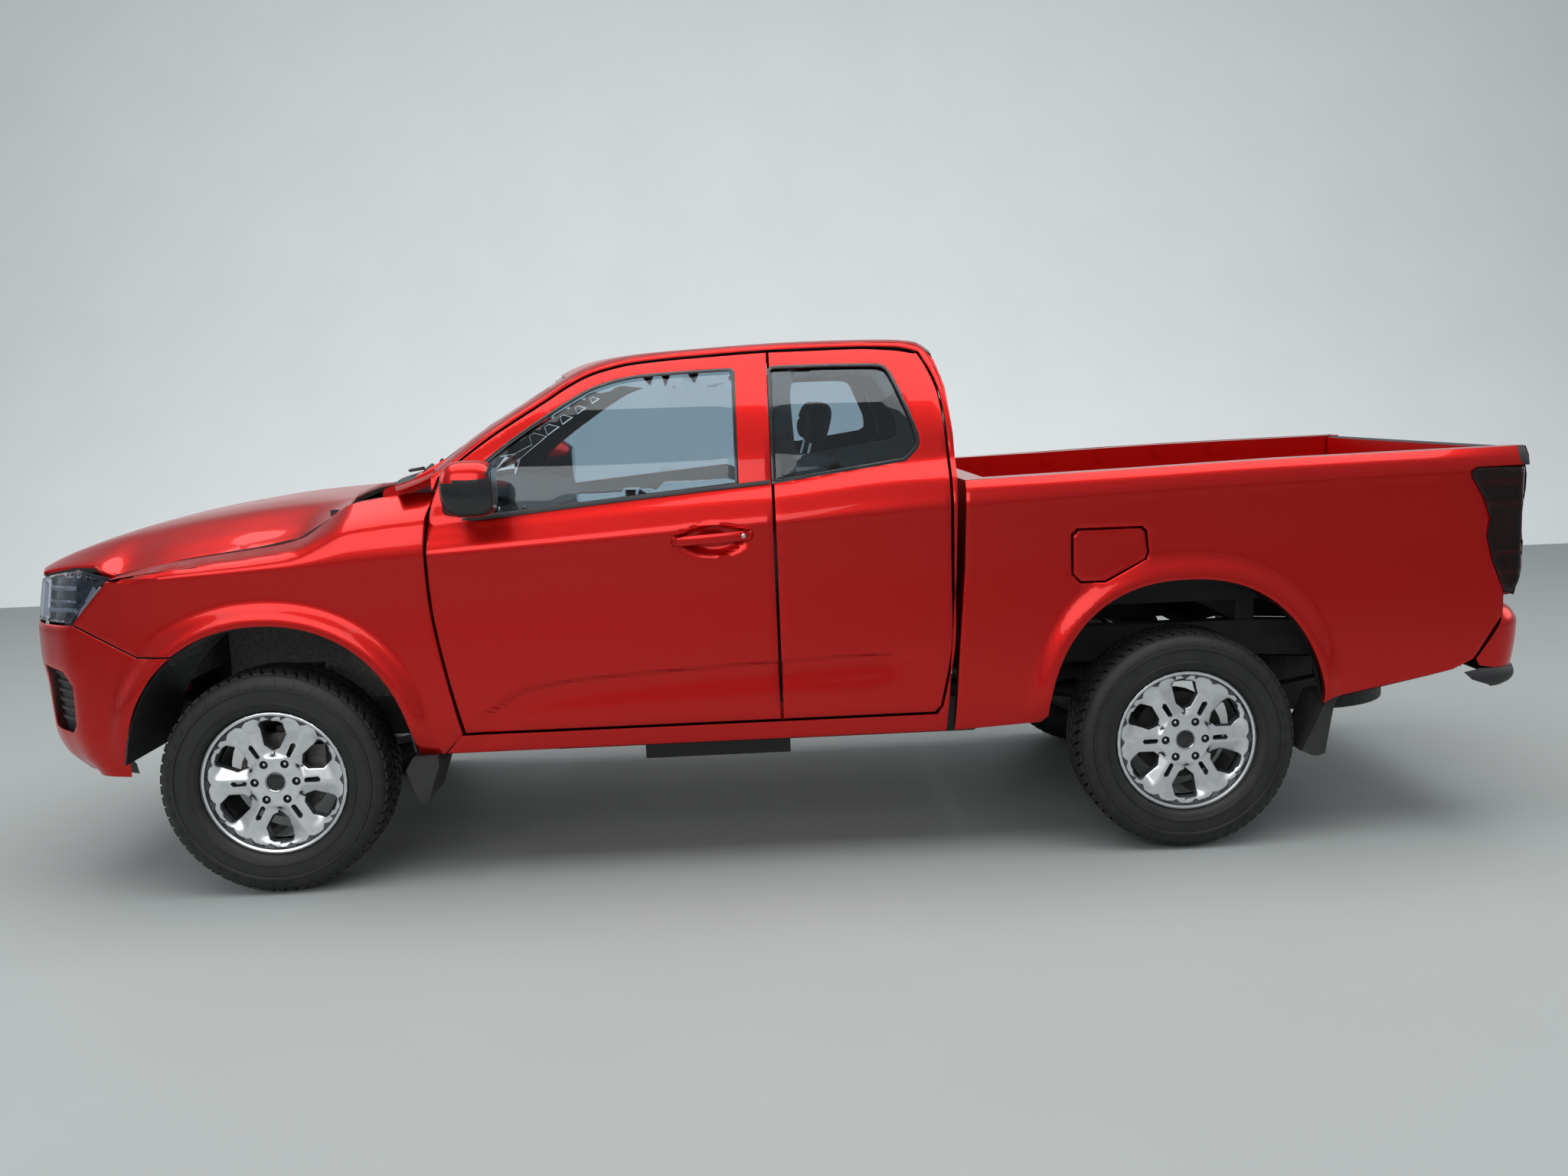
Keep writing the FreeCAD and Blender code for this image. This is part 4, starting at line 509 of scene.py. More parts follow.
DOOR_FRONT = ((-1.088, 0.522), (-1.132, 0.733), (-1.166, 0.935), (-1.174, 1.101), (-1.167, 1.264),
              (-1.124, 1.392))
CAB_REAR = ((0.540, 0.548), (0.582, 0.760), (0.588, 1.000), (0.590, 1.376), (0.572, 1.610), (0.520, 1.740))
TAIL_LAMP_FRONT = ((2.507, 0.858), (2.460, 0.973), (2.439, 1.060), (2.447, 1.121), (2.424, 1.184),
                   (2.377, 1.262), (2.373, 1.284), (2.395, 1.296))
DOOR_LOW = 0.522
DOOR_SPLIT = -0.010
SHUT = 0.0045
DITCH_DROP = 0.028
FLARE_HALF = 0.918
FLARE_WIDTH = 0.084
BUMPER_SEAM = 0.836


def curve(points):
    """Smooth line through (t, value) points that never overshoots them."""
    ts = [p[0] for p in points]
    vs = [p[1] for p in points]
    slopes = [(vs[i + 1] - vs[i]) / (ts[i + 1] - ts[i]) for i in range(len(ts) - 1)]
    tangents = [slopes[0]]
    for a, b in zip(slopes, slopes[1:]):
        tangents.append(2 * a * b / (a + b) if a * b > 0 else 0.0)
    tangents.append(slopes[-1])

    def value(t):
        if t <= ts[0]:
            return vs[0] + (t - ts[0]) * tangents[0]
        if t >= ts[-1]:
            return vs[-1] + (t - ts[-1]) * tangents[-1]
        i = bisect.bisect_right(ts, t) - 1
        h = ts[i + 1] - ts[i]
        u = (t - ts[i]) / h
        return ((1 + 2 * u) * (1 - u) ** 2 * vs[i] + u * (1 - u) ** 2 * h * tangents[i]
                + u * u * (3 - 2 * u) * vs[i + 1] + u * u * (u - 1) * h * tangents[i + 1])
    return value


shoulder_z = curve(SHOULDER_LINE)
belt_z = curve(BELT_LINE)
hood_line_z = curve(HOOD_LINE)
hood_crest_z = curve(HOOD_CREST)
rail_z = curve(RAIL_LINE)
roof_edge_z = curve(ROOF_EDGE)
green_half = curve(GREEN_LINE)
swage_z = curve(SWAGE_LINE)
nose_setback = curve(NOSE_SETBACK)


def ease(t):
    t = min(1.0, max(0.0, t))
    return t * t * (3 - 2 * t)


def plan_pull(x):
    """How far the side comes in towards the nose and the tail."""
    front = max(0.0, -1.950 - x) / 0.600
    rear = max(0.0, x - 2.250) / 0.350
    return 0.092 * front * front + 0.030 * rear * rear


# Curves made so far. Their keys are rounded, so the first caller near a place sets its curve for the rest.
profiles = {}


def side_profile(x, zone):
    """Half width as a smooth line over height at x."""
    key = (round(x, 4), zone)
    if key not in profiles:
        pull = plan_pull(x)
        shoulder = shoulder_z(x)
        points = [(0.400, 0.856), (0.454, 0.866), (0.582, 0.893), (0.742, 0.8985),
                  ((0.742 + shoulder) / 2, 0.8955), (shoulder - 0.030, 0.9025), (shoulder, 0.905)]
        if zone == "fender":
            top = max(hood_line_z(x), shoulder + 0.008)
            points += [(shoulder + (top - shoulder) * 0.5, 0.887), (top, HOOD_HALF + pull),
                       (top + 0.02, HOOD_HALF + pull - 0.03)]
        elif zone == "cab":
            belt = belt_z(x)
            points += [((shoulder + belt) / 2, 0.8825), (belt, green_half(belt))]
            points += [(z, green_half(z)) for z in (belt + 0.07, 1.560, 1.700, 1.781, 1.830)
                       if z > belt + 0.06]
        else:
            rail = rail_z(x)
            points += [(rail - 0.030, 0.895), (rail, 0.874), (rail + 0.02, 0.860)]
        profiles[key] = curve([(z, half - pull) for z, half in points])
    return profiles[key]


def arch_reach(x, z, arch):
    """How far outside a wheel arch a point lies."""
    x0, a, b, power = arch
    share = (abs(x - x0) / a) ** power + (max(0.0, z - AXLE_Z) / b) ** power
    return (share ** (1 / power) - 1) * (a + b) / 2


def flared(x, z, half):
    """Half width with the soft lip round the nearer wheel arch."""
    arch = FRONT_ARCH if x < 0 else REAR_ARCH
    lip = ease((FLARE_WIDTH - arch_reach(x, z, arch)) / 0.070)
    foot = ease((z - 0.44) / (0.30 if x < arch[0] and x < 0 else 0.16))
    return half + max(0.0, FLARE_HALF - half) * lip * foot


def swage(x, z):
    """Crease low on the doors, with a hollow below it."""
    drop = swage_z(x) - z
    fade = ease((x + 1.07) / 0.10) * ease((0.56 - x) / 0.25)
    return 0.013 * ease(drop / 0.016) * (1 - ease((drop - 0.02) / 0.15)) * fade


def handle_dish(x, z):
    """Finger recess behind the pull handle."""
    reach = ((x + 0.215) / 0.118) ** 2 + ((z - 1.150) / 0.052) ** 2
    return 0.020 * ease((1.15 - reach) / 0.9)


def skin(zone, dish=False):
    """Place on the left side for a point seen from the side."""
    def place(x, z):
        half = side_profile(x, zone)(z)
        if zone == "cab":
            half -= swage(x, z)
            if dish:
                half -= handle_dish(x, z)
        else:
            half = flared(x, z, half)
        return Vector((x, -half, z))
    return place


# Outlines and plates

def drawn(path, per=8):
    """Closed loop from a path: a tuple is a corner, a list is a smooth curve on from the point before."""
    loop = [path[0]]
    for step in path[1:]:
        if isinstance(step, list):
            run = [Vector((*p, 0.0)) for p in [loop[-1]] + step]
            loop += [(p.x, p.y) for p in smooth_path(run, per)[1:]]
        else:
            loop.append(step)
    return loop


def divided(loop, step):
    """The loop with further points, so that none of its sides is longer than a step."""
    out = []
    for a, b in zip(loop, loop[1:] + loop[:1]):
        length = math.hypot(b[0] - a[0], b[1] - a[1])
        if length < 1e-6:
            continue
        count = max(1, math.ceil(length / step))
        out += [(a[0] + (b[0] - a[0]) * k / count, a[1] + (b[1] - a[1]) * k / count) for k in range(count)]
    return out


def area_of(loop):
    return sum(a[0] * b[1] - b[0] * a[1] for a, b in zip(loop, loop[1:] + loop[:1])) / 2


def drawn_in(loop, gap):
    """The loop moved towards its inside by a gap."""
    turn = 1.0 if area_of(loop) > 0 else -1.0
    out = []
    for i, p in enumerate(loop):
        before = Vector(p) - Vector(loop[i - 1])
        after = Vector(loop[(i + 1) % len(loop)]) - Vector(p)
        before.normalize()
        after.normalize()
        middle = (before + after).normalized() if (before + after).length > 1e-4 else before
        normal = Vector((-middle.y, middle.x)) * turn
        stretch = max(0.45, abs(middle.dot(after)))
        out.append((p[0] + normal.x * gap / stretch, p[1] + normal.y * gap / stretch))
    return out


def inside(points, loop):
    """Which of the points lie inside the loop."""
    u = points[:, 0]
    v = points[:, 1]
    hit = numpy.zeros(len(points), bool)
    for (ax, ay), (bx, by) in zip(loop, loop[1:] + loop[:1]):
        if ay == by:
            continue
        crosses = (ay > v) != (by > v)
        hit ^= crosses & (u < (bx - ax) * (v - ay) / (by - ay) + ax)
    return hit


def inset(loop, gap, step=0.02):
    return drawn_in(divided(loop, step), gap)


def four(a, b, low, high):
    """Upright rectangle as a loop."""
    return [(a, low), (b, low), (b, high), (a, high)]


def both_halves(half):
    """Loop of a left half and its mirror image."""
    return half + [(-s, z) for s, z in reversed(half)]


def moved(surface, offset):
    return lambda a, b: surface(a, b) + Vector(offset)


def deeper(place, sink):
    """A place function at a fixed depth below its surface."""
    return lambda a, b: place(a, b, sink)


def plate(outer, holes, steps, surface, inward, depth, radius=0.0025, closed=False, colours=(0, 0)):
    """Sheet with a rounded, folded edge; colours are those of its skin and its fold.

    Loops and steps are in the two coordinates that surface turns into a place. A closed plate has a back.
    """
    rim_step = max(steps) * 0.7
    loops = [(divided(outer, rim_step), 1.0)] + [(divided(hole, rim_step), -1.0) for hole in holes]
    rings = [drawn_in(loop, radius * sign) for loop, sign in loops]
    flat = [p for ring in rings for p in ring]
    edges = []
    start = 0
    for ring in rings:
        edges += [(start + i, start + (i + 1) % len(ring)) for i in range(len(ring))]
        start += len(ring)
    rim = numpy.array(flat)
    low = rim.min(axis=0)
    high = rim.max(axis=0)
    us = numpy.arange(low[0] + steps[0] / 2, high[0], steps[0])
    vs = numpy.arange(low[1] + steps[1] / 2, high[1], steps[1])
    grid = numpy.array([(a, b) for a in us for b in vs])
    keep = inside(grid, rings[0])
    for ring in rings[1:]:
        keep &= ~inside(grid, ring)
    grid = grid[keep]
    near = numpy.full(len(grid), 1e9)
    for p in rim:
        near = numpy.minimum(near, numpy.hypot((grid[:, 0] - p[0]) / steps[0],
                                               (grid[:, 1] - p[1]) / steps[1]))
    flat += [tuple(p) for p in grid[near > 0.6]]
    made = delaunay_2d_cdt([Vector(p) for p in flat], edges, [], 0, 1e-7)
    points = numpy.array([tuple(p) for p in made[0]])
    place_of = {}
    for out_index, sources in enumerate(made[3]):
        for source in sources:
            place_of[source] = out_index
    centres = numpy.array([points[list(face)].mean(axis=0) for face in made[2]])
    keep = inside(centres, rings[0])
    for ring in rings[1:]:
        keep &= ~inside(centres, ring)
    verts = [surface(a, b) for a, b in points]
    faces = [tuple(face) for face, ok in zip(made[2], keep) if ok]
    kinds = [0] * len(faces)
    tops = len(verts)
    back = Vector(inward)
    start = 0
    for (loop, sign), ring in zip(loops, rings):
        above = [place_of[start + i] for i in range(len(ring))]
        for share, sink in ((0.3, 0.3 * radius), (0.0, radius), (0.0, depth)):
            level = drawn_in(loop, radius * sign * share) if share else loop
            here = list(range(len(verts), len(verts) + len(level)))
            verts += [surface(a, b) + back * sink for a, b in level]
            for i in range(len(level)):
                j = (i + 1) % len(level)
                faces.append((above[i], above[j], here[j], here[i]))
                kinds.append(1)
            above = here
        if closed:
            base = {place_of[start + i]: above[i] for i in range(len(ring))}
            closing = base if start == 0 else {**closing, **base}
        start += len(ring)
    if closed:
        under = dict(closing)
        for index in range(tops):
            if index not in under:
                under[index] = len(verts)
                verts.append(verts[index] + back * depth)
        for face, kind in list(zip(faces, kinds)):
            if kind == 0:
                faces.append(tuple(under[i] for i in reversed(face)))
                kinds.append(1)
    verts, faces, kinds = turned_out(verts, faces, kinds, -back)
    return verts, faces, [colours[kind] for kind in kinds]


def arch_points(arch, spread, low, count=44):
    """Wheel arch edge from its rear foot over the top to its front foot."""
    x0, a, b, power = arch
    run = []
    for i in range(count + 1):
        angle = math.pi * i / count
        c = math.cos(angle)
        n = math.sin(angle)
        run.append((x0 + (a + spread) * math.copysign(abs(c) ** (2 / power), c),
                    AXLE_Z + (b + spread) * abs(n) ** (2 / power)))
    run = [p for p in run if p[1] > low + 0.004]
    return [(run[0][0] + 0.001, low)] + run + [(run[-1][0] - 0.001, low)]


def shifted(points, dx):
    return [(x + dx, z) for x, z in points]


# Tyres

SIDEWALL = ((0.230, 0.0385), (0.247, 0.0365), (0.252, 0.018), (0.262, 0.010), (0.274, 0.0065),
            (0.276, 0.0030), (0.281, 0.0022), (0.283, 0.0055), (0.296, 0.0050), (0.314, 0.0040),
            (0.322, 0.0050), (0.3245, 0.0008), (0.3310, 0.0006), (0.3335, 0.0060), (0.340, 0.0065),
            (0.350, 0.009), (0.361, 0.016), (0.368, 0.024))
SIDE_LUG = ((0.341, 0.0068), (0.352, 0.0105), (0.362, 0.0175))
SIDE_LUGS = 36
TREAD_DEPTH = 0.011
TREAD_PITCHES = 62


def tread_blocks(verts, faces, radius, ground, shoulder):
    """Adds five rows of blocks, each a little longer or shorter than the next."""
    rng = random.Random(7)
    pitch = 2 * math.pi / TREAD_PITCHES
    rows = ((-shoulder - 0.004, -shoulder + 0.030, 0.0, 0.74, 0.18),
            (-shoulder + 0.036, -0.030, 0.5, 0.80, 0.3),
            (-0.023, 0.023, 0.25, 0.86, -0.25),
            (0.030, shoulder - 0.036, 0.5, 0.80, -0.3),
            (shoulder - 0.030, shoulder + 0.004, 0.0, 0.74, -0.18))
    for k in range(TREAD_PITCHES):
        for y0, y1, shift, fill, lean_share in rows:
            start = 2 * math.pi * (k + shift) / TREAD_PITCHES
            length = pitch * fill * (0.96 + 0.08 * rng.random())
            slant = lean_share * 2 * math.pi / TREAD_PITCHES
            base = len(verts)
            for r, inset in ((ground - 0.003, 0.0), (radius - 0.0012, 0.0), (radius - 0.0001, 0.0022)):
                for y, lean in ((y0 + inset, -slant), (y1 - inset, slant)):
                    drop = 0.006 if abs(y) > shoulder - 0.002 and r > ground else 0.0
                    for angle in (start + lean + inset / radius, start + length + lean - inset / radius):
                        verts.append(((r - drop) * math.cos(angle), y, (r - drop) * math.sin(angle)))
            for ring in (0, 4):
                for i, j in ((0, 1), (1, 3), (3, 2), (2, 0)):
                    faces.append((base + ring + i, base + ring + j, base + ring + 4 + j, base + ring + 4 + i))
            faces.append((base + 8, base + 9, base + 11, base + 10))


def side_lugs(verts, faces, half):
    """Adds flat lugs round both shoulders."""
    for k in range(SIDE_LUGS):
        middle = 2 * math.pi * (k + 0.5) / SIDE_LUGS
        for sign in (-1, 1):
            base = len(verts)
            for r, inset in SIDE_LUG:
                for lean in (-0.022, 0.022):
                    verts.append((r * math.cos(middle + lean), sign * (half - inset + 0.0022),
                                  r * math.sin(middle + lean)))
            for a in (base, base + 2):
                faces.append((a, a + 1, a + 3, a + 2))


def tyre_piece(place):
    node = "tyre_" + place
    low, high = (Vector(c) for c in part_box(node))
    centre = (low + high) / 2
    radius = (high.z - low.z) / 2
    half = (high.y - low.y) / 2
    shoulder = half - 0.036
    ground = radius - TREAD_DEPTH
    profile = [(r, half - inset) for r, inset in SIDEWALL]
    profile += [(ground - 0.001, shoulder + 0.003), (ground, shoulder - 0.004), (ground, 0.045),
                (ground, 0.0)]
    profile += [(r, -w) for r, w in reversed(profile[:-1])]
    verts, faces = lathe(profile, 120, (0, 0, 0))
    tread_blocks(verts, faces, radius, ground, shoulder)
    side_lugs(verts, faces, half)
    verts = [(centre.x + v[0], centre.y + v[1], centre.z + v[2]) for v in verts]
    piece("tyre_tread_" + place, [coloured((verts, faces), 0)], ["tyre_rubber"], "wheel_" + place, [node],
          clean=True)


PLACES = [(end + "_" + word, side) for end in ("front", "rear") for word, side in SIDES]
for place_name, _ in PLACES:
    tyre_piece(place_name)


# Body sides

PANEL_STEPS = (0.020, 0.0115)


def door_top(x):
    return roof_edge_z(x) - DITCH_DROP


def top_run(xs, dz):
    return [(x, door_top(x) + dz) for x in xs]


FRONT_TOP_XS = (-0.978, -0.878, -0.778, -0.700, -0.626, -0.550, -0.473, -0.350, -0.235, -0.110)
FRONT_WINDOW = [(-1.040, 1.258), [(-1.026, 1.330), (-1.000, 1.402), (-0.890, 1.492), (-0.776, 1.568),
                                  (-0.690, 1.622), (-0.600, 1.668), (-0.475, 1.698), (-0.300, 1.709),
                                  (-0.141, 1.713)], (-0.135, 1.706), (-0.135, 1.337)]
REAR_WINDOW = [(-0.002, 1.340), (-0.002, 1.710), (0.006, 1.716), [(0.200, 1.716), (0.365, 1.712)],
               [(0.400, 1.690), (0.452, 1.568), (0.482, 1.478)], [(0.482, 1.440), (0.440, 1.398)]]


def is_left(normal, centre):
    """Whether a face of a cab's node lies on its left outer skin."""
    return normal.y < -0.35 and -centre.y > side_profile(centre.x, "cab")(centre.z) - 0.034


WINDOW_LOOPS = [inset(drawn(loop), -0.003, 0.03) for loop in (FRONT_WINDOW, REAR_WINDOW)]


def in_window(centre, normal):
    """Whether a face of the CAD doors belongs to the edge of a window's opening."""
    spot = numpy.array([(centre.x, centre.z)])
    return (abs(centre.y) > 0.55 and centre.z > 1.2 and abs(normal.y) < 0.85
            and any(inside(spot, loop)[0] for loop in WINDOW_LOOPS))


def cleared(sheet):
    """A sheet of a door's back with the points inside a window's outline moved out to that outline."""
    verts, faces, kinds = sheet
    moved = []
    for x, y, z in verts:
        for loop in WINDOW_LOOPS if abs(y) > 0.55 and z > 1.2 else ():
            if inside(numpy.array([(x, z)]), loop)[0]:
                ends = numpy.array(loop)
                spans = numpy.roll(ends, -1, axis=0) - ends
                share = ((numpy.array((x, z)) - ends) * spans).sum(axis=1) / (spans ** 2).sum(axis=1)
                near = ends + spans * numpy.clip(share, 0.0, 1.0)[:, None]
                x, z = (float(v) for v in near[((near - (x, z)) ** 2).sum(axis=1).argmin()])
        moved.append((x, y, z))
    return moved, faces, kinds


def door_back(node, side):
    """A CAD door without its outer skin: a dark lining with a red edge."""
    def keep(centre, normal):
        seen = Vector((centre.x, centre.y * -side, centre.z))
        facing = Vector((normal.x, normal.y * -side, normal.z))
        return not is_left(facing, seen) and not in_window(centre, normal)

    def colour(centre, normal):
        return 1 if abs(normal.y) > 0.6 and abs(centre.y) < 0.86 else 0
    return cleared(cad_sheet(node, keep, colour))


def front_door_outline():
    front = shifted(DOOR_FRONT, SHUT)
    end = DOOR_SPLIT - SHUT
    low = DOOR_LOW + SHUT
    return drawn([(front[0][0] + 0.001, low), front[1:], top_run(FRONT_TOP_XS, -SHUT),
                  (end, door_top(end) - SHUT), (end, low)])


def rear_door_outline():
    start = DOOR_SPLIT + SHUT
    low = DOOR_LOW + SHUT
    rear = shifted(reversed(CAB_REAR), -SHUT)
    return drawn([(start, low), (start, door_top(start) - SHUT),
                  [(0.150, door_top(0.15) - SHUT), (0.315, door_top(0.315) - SHUT),
                   (0.440, door_top(0.44) - SHUT - 0.004)],
                  [(0.492, 1.752), rear[0], *rear[1:]], (rear[-1][0] - 0.020, low)])


def aperture_run():
    """Edge of both doorways from the front foot over the top to the rear foot."""
    low = DOOR_LOW - SHUT
    front = shifted(DOOR_FRONT, -SHUT)
    rear = shifted(reversed(CAB_REAR), SHUT)
    return drawn([(front[0][0], low), front[1:], top_run(FRONT_TOP_XS, SHUT),
                  [(0.051, door_top(0.051) + SHUT), (0.315, door_top(0.315) + SHUT),
                   (0.445, door_top(0.44) + SHUT)],
                  [(0.500, 1.762), rear[0], *rear[1:]], (rear[-1][0] - 0.020, low)])


def glass_place(x, z):
    """Place on a left door's glass, a little inside the skin."""
    return Vector((x, -(side_profile(x, "cab")(z) - 0.009), z))


def window_band(loop):
    """Flat rubber band round a window, lying on the door's skin."""
    return plate(inset(loop, -0.011), [inset(loop, 0.001)], (0.02, 0.012),
                 moved(skin("cab"), (0, -0.0015, 0)), (0, 1, 0), 0.007, 0.0012)


def door_pieces():
    for word, side in SIDES:
        for end, outline, window, dish in (("front", front_door_outline(), FRONT_WINDOW, True),
                                           ("rear", rear_door_outline(), REAR_WINDOW, False)):
            node = end + "_door_" + word
            sheet = plate(outline, [drawn(window)], PANEL_STEPS, skin("cab", dish), (0, 1, 0), 0.020)
            piece(end + "_door_skin_" + word, [on_side(sheet, side), door_back(node, side)],
                  ["body_red", "cabin_plastic"], node, [node])
            glass = plate(inset(drawn(window), 0.0006), [], (0.05, 0.03), glass_place, (0, 1, 0), 0.0045,
                          0.0008, closed=True)
            piece(end + "_pane_" + word, [on_side(glass, side)], ["window_glass"], node,
                  [end + "_glass_" + word])
            piece(end + "_window_trim_" + word, [on_side(window_band(drawn(window)), side)],
                  ["black_gloss"], node)


door_pieces()


def fender_outline():
    rear = shifted(DOOR_FRONT, -SHUT)
    arch = [p for p in arch_points(FRONT_ARCH, 0.0, 0.454) if not (p[0] < -1.9 and p[1] < BUMPER_SEAM)]
    top = [(x, hood_line_z(x) - 0.001) for x in (-1.24, -1.34, -1.43, -1.48, -1.526, -1.575, -1.624, -1.69,
                                                 -1.753, -1.84, -1.924, -2.01, -2.095, -2.17, -2.228)]
    return drawn([(-1.160, 0.454), (-1.094, 0.522), rear[1:-1], (-1.148, 1.342), top, (-2.232, 1.083),
                  (-2.362, 0.950), (-2.148, BUMPER_SEAM), (-2.026, BUMPER_SEAM)], 4) + list(reversed(arch))


def fender_pieces():
    sheet = plate(fender_outline(), [], (0.016, 0.012), skin("fender"), (0, 1, 0), 0.022)
    back = cad_sheet("front_fenders",
                     lambda c, n: (n.y * c.y < 0 or abs(n.y) < 0.2) and abs(c.y) < 0.875 and c.z > 0.50,
                     lambda c, n: 1 if n.y * c.y < -0.02 or n.z < -0.3 else 0)
    piece("front_fender_skins", [sheet, on_side(sheet, 1), back], ["body_red", "black_plastic"], "chassis",
          ["front_fenders"])


fender_pieces()


def bed_outline():
    arch = arch_points(REAR_ARCH, 0.0, 0.492)
    rail = [(x, rail_z(x) + 0.001) for x in (0.9, 1.2, 1.5, 1.8, 2.1, 2.4, 2.585)]
    lamp = list(reversed(TAIL_LAMP_FRONT))
    lower = [(2.504, 0.779), (2.400, 0.629), (2.328, 0.595), (1.903, 0.512)]
    return ([(0.583, 0.454), (0.587, 0.498), (0.606, 0.76), (0.628, 1.010), (0.640, 1.316)] + rail
            + [(2.592, 1.296)] + lamp + lower + arch + [(0.880, 0.470)])


def painted_shade_under_bed(centre, normal):
    """1 for a face under the bed or towards a rear wheel, drawn black; under the bed this black is painted
    shade.
    """
    across = centre.x - REAR_ARCH[0]
    above = centre.z - AXLE_Z
    tunnel = abs(across) < 0.62 and above < 0.69
    inward = (normal.x * across + normal.z * above < -0.02
              or (normal.y * centre.y > 0 and abs(centre.y) < 0.70))
    return 1 if centre.z < 0.845 or (tunnel and inward) else 0


FLAP_HOLE = [(0.993, 0.982), (0.993, 1.122), (1.010, 1.140), (1.236, 1.140), (1.252, 1.125), (1.260, 1.050),
             (1.252, 1.025), (1.110, 0.952), (1.023, 0.952)]
FLAP_DOOR = [(1.000, 0.985), (1.000, 1.112), (1.022, 1.133), (1.231, 1.133), (1.245, 1.120), (1.253, 1.050),
             (1.246, 1.030), (1.108, 0.959), (1.026, 0.959)]


def bed_pieces():
    sheets = []
    for _, side in SIDES:
        holes = [FLAP_HOLE] if side < 0 else []
        sheet = plate(bed_outline(), holes, (0.020, 0.012), skin("bed"), (0, 1, 0), 0.022)
        sheets.append(on_side(tinted(sheet, lambda c: c.x > 2.562 and c.z > 1.296, 1), side))

    def keep(centre, normal):
        outer = normal.y * centre.y > 0 and abs(normal.y) > 0.35
        low_edge = abs(centre.y) > 0.872 and centre.z < 1.0 and abs(centre.x - 1.39) < 0.58
        return not low_edge and not (
            outer and abs(centre.y) > side_profile(centre.x, "bed")(centre.z) - 0.045)
    # Faces under the bed are drawn black: painted shade.
    sheets.append(cad_sheet("bed_sides", keep, painted_shade_under_bed))
    piece("bed_side_skins", sheets, ["body_red", "black_plastic"], "chassis", ["bed_sides"])
    sheet = plate(inset(FLAP_DOOR, 0.0), [], (0.02, 0.012), skin("bed"), (0, 1, 0), 0.006, 0.0015)
    inner = cad_sheet("fuel_flap", lambda c, n: n.y > -0.3, lambda c, n: 0)
    piece("fuel_flap_skin", [sheet, inner], ["body_red"], "fuel_flap", ["fuel_flap"])


bed_pieces()
# The load floor's underside is drawn black: painted shade where it lies in shadow.
floor_sheet = cad_sheet("load_floor", lambda c, n: True, lambda c, n: max(painted_shade_under_bed(c, n), n.z < -0.5))
piece("load_floor_skin", [floor_sheet], ["body_red", "black_plastic"], "chassis", ["load_floor"])


RAIL_TABS = ((0.967, 1.020), (1.215, 1.272), (1.466, 1.526), (1.729, 1.784), (1.982, 2.040))
TAB_Y = 0.7635


def rail_tabs():
    """Folded tabs below both rails, each of two layers."""
    sheets = []
    for low, high in RAIL_TABS:
        top = rail_z((low + high) / 2) - 0.012
        for _, side in SIDES:
            for y, drop in ((TAB_Y, 0.052), (0.7600, 0.046)):
                grow = (TAB_Y - y) * -1.2
                verts = [(low - grow, side * y, top), (high + grow, side * y, top),
                         (high - 0.008 + grow, side * y, top - drop),
                         (low + 0.008 - grow, side * y, top - drop)]
                sheets.append((verts, [(0, 1, 2, 3)], [0]))
    piece("rail_tabs", sheets, ["body_red"], "chassis")


rail_tabs()


# Cab

CAB_PROFILE = [(-1.330, 1.347), (-1.230, 1.373), (-1.128, 1.419), (-0.978, 1.529), (-0.778, 1.654),
               (-0.626, 1.741), (-0.473, 1.778), (-0.235, 1.795), (0.051, 1.806), (0.315, 1.806),
               (0.470, 1.799), (0.530, 1.780), (0.566, 1.730), (0.596, 1.634), (0.611, 1.480),
               (0.613, 1.379), (0.6135, 1.200), (0.6135, 0.900), (0.6135, 0.620)]


class Track:
    """Smooth line through points, read by the distance along it."""

    def __init__(self, points, per=10):
        self.points = smooth_path([Vector((*p, 0.0)) for p in points], per)
        self.reach = [0.0]
        for a, b in zip(self.points, self.points[1:]):
            self.reach.append(self.reach[-1] + (b - a).length)

    def at(self, t):
        t = min(max(t, 0.0), self.reach[-1])
        i = min(bisect.bisect_right(self.reach, t), len(self.points) - 1) - 1
        share = (t - self.reach[i]) / max(1e-9, self.reach[i + 1] - self.reach[i])
        a = self.points[i]
        b = self.points[i + 1]
        return a.lerp(b, share), (b - a).normalized()

    def where(self, axis, value, start=0.0, end=1e9):
        """First distance between start and end at which a coordinate passes a value."""
        for i in range(len(self.points) - 1):
            if self.reach[i] < start - 1e-6 or self.reach[i + 1] > end + 1e-6:
                continue
            a = self.points[i][axis]
            b = self.points[i + 1][axis]
            if (a - value) * (b - value) <= 0 and a != b:
                return self.reach[i] + (value - a) / (b - a) * (self.reach[i + 1] - self.reach[i])
        return self.reach[-1]


cab_track = Track(CAB_PROFILE)
ROOF_MIDDLE = cab_track.where(0, 0.1)


def cab_edge(z):
    """Half width of the roof and screen pillars at a height on the cab's profile."""
    return green_half(max(z - DITCH_DROP, 1.20)) - 0.009


def cab_place(t, y, sink=0.0):
    """Place on the cab's screen, roof and rear wall at a distance along its profile."""
    point, way = cab_track.at(t)
    edge = cab_edge(point.y)
    share = min(1.0, abs(y) / edge)
    bulge = 0.110 * ease(1 - (point.x + 0.62) / 0.42) * (1 - share * share)
    crown = 0.0155 * (1 - share * share)
    drop = 0.010 * ease((share - 0.94) / 0.06)
    normal = Vector((-way.y, way.x))
    x = point.x - bulge + normal.x * (crown - sink - drop)
    z = point.y + normal.y * (crown - sink - drop)
    return Vector((min(x, 0.6139), y, z))


def front_t(z):
    return cab_track.where(1, z, 0.0, ROOF_MIDDLE)


def back_t(z):
    return cab_track.where(1, z, ROOF_MIDDLE)


def screen_loop():
    low = front_t(1.392)
    top = front_t(1.712)
    return drawn([(low, -0.700), [(low - 0.006, -0.35), (low - 0.008, 0.0), (low - 0.006, 0.35),
                                  (low, 0.700)], (top, 0.612),
                  [(top + 0.010, 0.3), (top + 0.013, 0.0), (top + 0.010, -0.3), (top, -0.612)]])


